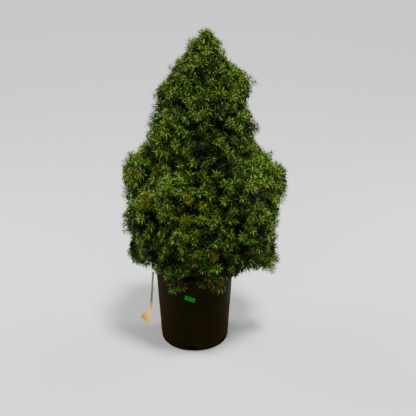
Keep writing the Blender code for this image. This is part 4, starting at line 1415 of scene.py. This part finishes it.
def add_lobe(lobe, wood, green, settings):
    """Grows one lobe into the skins of its group."""
    chance = np.random.default_rng(zlib.crc32(lobe.name.encode()))
    needles, twigs = settings.needles, settings.twigs
    paths = hanging_twigs(lobe) if lobe.tier == "droop" else grow_twigs(lobe, twigs, chance)
    radii = np.broadcast_to(twigs.twig_radius * np.linspace(1, TWIG_TIP, 5), paths.shape[:2])
    add_barrels(wood, tubes(stem_path(lobe)[None], np.array([STEM_RADII]), 6), OLD)
    add_barrels(wood, tubes(paths, radii, 4), OLD)
    shoots = grow_shoots(lobe, paths, twigs, chance)
    deal_tones(shoots, lobe, chance)
    # Painted shade as well as age: the wood and buds of shade-toned sprays are dark, and a share of
    # the others darkens at random.
    dull = (shoots.tones == SHADE) | (chance.random(len(shoots)) < twigs.dull)
    add_shoot_wood(wood, shoots, twigs, np.where(dull, OLD, YOUNG))
    outer = shoots.depth < BUDDED_DEPTH
    add_buds(wood, shoots.only(outer), twigs, np.where(dull, OLD, BUD)[outer])
    for low, high, share, size in LAYERS:
        layer = shoots.only((shoots.depth >= low) & (shoots.depth < high))
        rows = needle_rows(layer, needles, share, size, chance)
        add_needles(green, *rows, needles.width * size, needles.widest)
    inner = grow_inner(lobe, paths, twigs, chance)
    add_shoot_wood(wood, inner, twigs, OLD)
    rows = needle_rows(inner, needles, INNER_SHARE, INNER_SIZE, chance)
    add_needles(green, *rows, needles.width * INNER_WIDTH, needles.widest)


def group_of(lobe):
    """The pieces that a lobe goes into: its tier's, of which the wide ones are halved."""
    if lobe.tier in BOUGH_TIERS:
        return lobe.tier + ("_front" if lobe.centre[1] < HALVES_Y else "_back")
    return "top" if lobe.tier in ("crest", "leader") else lobe.tier


# Operators


class SPRUCE_OT_pot(bpy.types.Operator):
    """Make the nursery pot with its drain slots"""

    bl_idname = "spruce.pot"
    bl_label = "Pot"

    def execute(self, context):
        skin, profile = Skin(), pot_profile()
        rings = turned(*profile[1:-1].T, POT_STEPS)
        add_turned(skin, rings, profile[0, 1], profile[-1, 1])
        plastic = plastic_material(context.scene.spruce.pot)
        cut_slots(skin.build("nursery_pot", [plastic], "pot_plastic", ["pot"]))
        return {"FINISHED"}


class SPRUCE_OT_mix(bpy.types.Operator):
    """Fill the pot with mix and chips of bark"""

    bl_idname = "spruce.mix"
    bl_label = "Potting mix"

    def execute(self, context):
        looks = context.scene.spruce.pot
        mound, chips = Skin(), Skin()
        add_turned(mound, mix_surface(), MIX_BASE, MIX_TOP)
        mound.build("mix_mound", [mix_material(looks)], "potting_mix", ["potting_mix"])
        add_chips(chips, np.random.default_rng(21))
        chip = chip_material(looks)
        chips.build("bark_chips", [chip], "potting_mix", ["potting_mix"], sharp_over=0)
        return {"FINISHED"}


class SPRUCE_OT_label(bpy.types.Operator):
    """Stick the price label on the pot"""

    bl_idname = "spruce.label"
    bl_label = "Price label"

    def execute(self, context):
        looks = context.scene.spruce.pot
        skin = Skin()
        add_label(skin)
        inks = [
            plain("sticker", looks.sticker, 0.6, 0.1),
            plain("sticker_bars", looks.sticker_mark, 0.6, 0.1),
        ]
        skin.build("sticker", inks, "label_green", ["price_label"], sharp_over=40)
        return {"FINISHED"}


class SPRUCE_OT_tag(bpy.types.Operator):
    """Hang the card tag over the lip"""

    bl_idname = "spruce.tag"
    bl_label = "Hang tag"

    def execute(self, context):
        skin = Skin()
        add_plate(skin, *tag_grids())
        card = card_material(context.scene.spruce.pot)
        skin.build("card_tag", [card], "tag_card", ["hang_tag"], sharp_over=50)
        return {"FINISHED"}


class SPRUCE_OT_bark(bpy.types.Operator):
    """Make the trunk and the boughs with the bark's relief"""

    bl_idname = "spruce.bark"
    bl_label = "Trunk and boughs"

    def execute(self, context):
        looks = context.scene.spruce.bark
        skin = Skin()
        add_trunk(skin, looks.relief)
        nodes = ["trunk"]
        for lobe in all_lobes():
            if lobe.tier == "droop":
                share, tip, route = DROOP_BOUGH_SHARE, DROOP_TIP_RADIUS, droop_route(lobe)
            elif lobe.tier in BOUGH_TIERS:
                share, tip, route = BOUGH_SHARE, BOUGH_TIP_RADIUS, bough_route(lobe)
            else:
                continue
            add_bough(skin, route, share * trunk_radius(route[0][2]), tip, looks.relief)
            nodes.append("bough_" + lobe.name)
        skin.build("trunk_and_boughs", [bark_material(looks)], "bark", nodes)
        return {"FINISHED"}


class SPRUCE_OT_foliage(bpy.types.Operator):
    """Grow the twigs, buds and needles of the whole crown"""

    bl_idname = "spruce.foliage"
    bl_label = "Foliage"

    def execute(self, context):
        settings = context.scene.spruce
        needles, twigs = settings.needles, settings.twigs
        greens = [plain("needles_" + tone, getattr(needles, tone), 0.5, 0.15) for tone in TONES]
        woods = [
            plain("young_wood", twigs.young, 0.6, 0.1),
            plain("old_wood", twigs.old, 0.8, 0.1),
            plain("buds", twigs.bud, 0.55, 0.2),
        ]
        groups = {}
        for lobe in all_lobes():
            groups.setdefault(group_of(lobe), []).append(lobe)
        for name, lobes in groups.items():
            wood, green = Skin(), Skin()
            for lobe in lobes:
                add_lobe(lobe, wood, green, settings)
            nodes = [lobe.name for lobe in lobes]
            green.build("needles_" + name, greens, "foliage", nodes, sharp_over=0)
            wood.build("twigs_" + name, woods, "bark", nodes)
        return {"FINISHED"}


# Soft lights: name, place, aim and watts.
SOFT_LIGHTS = (
    ("left", (-1.6, 0.5, 1.3), (0, 0, 0.5), 24),
    ("right", (1.7, 0.6, 1.3), (0, 0, 0.5), 26),
    ("front", (-1.0, -2.8, 1.0), (0, 0, 0.42), 34),
)


class SPRUCE_OT_stage(bpy.types.Operator):
    """Set up the pale floor, the soft lights and the camera"""

    bl_idname = "spruce.stage"
    bl_label = "Stage"

    def execute(self, context):
        looks = context.scene.spruce.stage
        corners = [(-6, -6, 0), (6, -6, 0), (6, 6, 0), (-6, 6, 0)]  # past the picture's edges
        mesh = bpy.data.meshes.new("floor")
        mesh.from_pydata(corners, [], [(0, 1, 2, 3)])
        mesh.materials.append(plain("floor", looks.floor, 0.6, 0.5))
        floor = bpy.data.objects.new("floor", mesh)
        context.scene.collection.objects.link(floor)
        set_world(context.scene, looks.sky)
        light, power = bpy.data.lights.new("sky_panel", "SUN"), looks.power
        light.energy, light.angle = 4.4 * power, math.radians(12)
        add_aimed("light_sky_panel", light, (0.15, -0.30, 1.0), (0, 0, 0))
        for name, place, aim, watts in SOFT_LIGHTS:
            light = bpy.data.lights.new(name, "AREA")
            light.shape, light.size, light.energy = "DISK", 0.9, watts * power
            add_aimed("light_" + name, light, place, aim)
        camera = bpy.data.cameras.new("camera")
        camera.lens, camera.sensor_width = looks.lens, 36
        camera.dof.use_dof = False
        context.scene.camera = add_aimed("camera", camera, tuple(looks.eye), tuple(looks.aim))
        return {"FINISHED"}


def add_aimed(name, data, place, aim):
    """Stands a light or a camera at a place, looking at its aim with its top up."""
    made = bpy.data.objects.new(name, data)
    bpy.context.scene.collection.objects.link(made)
    ahead = Vector(aim) - Vector(place)
    made.matrix_world = Matrix.LocRotScale(place, ahead.to_track_quat("-Z", "Y"), None)
    return made


def set_world(scene, sky):
    """A white room to look at, which lights the object more softly than it shows."""
    world = bpy.data.worlds.new("room")
    world.use_nodes = True
    tree = world.node_tree
    background = tree.nodes["Background"]
    background.inputs["Color"].default_value = (1, 1, 1, 1)
    path = tree.nodes.new("ShaderNodeLightPath")
    strength = tree.nodes.new("ShaderNodeMapRange")
    strength.inputs["To Min"].default_value = sky
    strength.inputs["To Max"].default_value = 1.0
    tree.links.new(path.outputs["Is Camera Ray"], strength.inputs["Value"])
    tree.links.new(strength.outputs[0], background.inputs["Strength"])
    scene.world = world


class SPRUCE_PT_steps(bpy.types.Panel):
    """The steps that make the plant, and the sizes and colours that they read"""

    bl_idname = "SPRUCE_PT_steps"
    bl_label = "Potted spruce"
    bl_space_type = "VIEW_3D"
    bl_region_type = "UI"
    bl_category = "Spruce"

    def draw(self, context):
        for step in STEPS:
            self.layout.operator("spruce." + step)
        for group in SpruceSettings.__annotations__:
            looks = getattr(context.scene.spruce, group)
            box = self.layout.box()
            box.label(text=group.capitalize())
            for name in type(looks).__annotations__:
                box.prop(looks, name)


# The order in which the operators run.
STEPS = ("pot", "mix", "label", "tag", "bark", "foliage", "stage")

CLASSES = (SpruceNeedles, SpruceTwigs, SpruceBark, SprucePot, SpruceStage, SpruceSettings)
CLASSES += (SPRUCE_OT_pot, SPRUCE_OT_mix, SPRUCE_OT_label, SPRUCE_OT_tag, SPRUCE_OT_bark)
CLASSES += (SPRUCE_OT_foliage, SPRUCE_OT_stage, SPRUCE_PT_steps)


def register():
    for kind in CLASSES:
        bpy.utils.register_class(kind)
    bpy.types.Scene.spruce = PointerProperty(type=SpruceSettings)


def unregister():
    del bpy.types.Scene.spruce
    for kind in reversed(CLASSES):
        bpy.utils.unregister_class(kind)


def main():
    """Makes everything."""
    register()
    for step in STEPS:
        getattr(bpy.ops.spruce, step)()


if __name__ == "__main__":
    main()
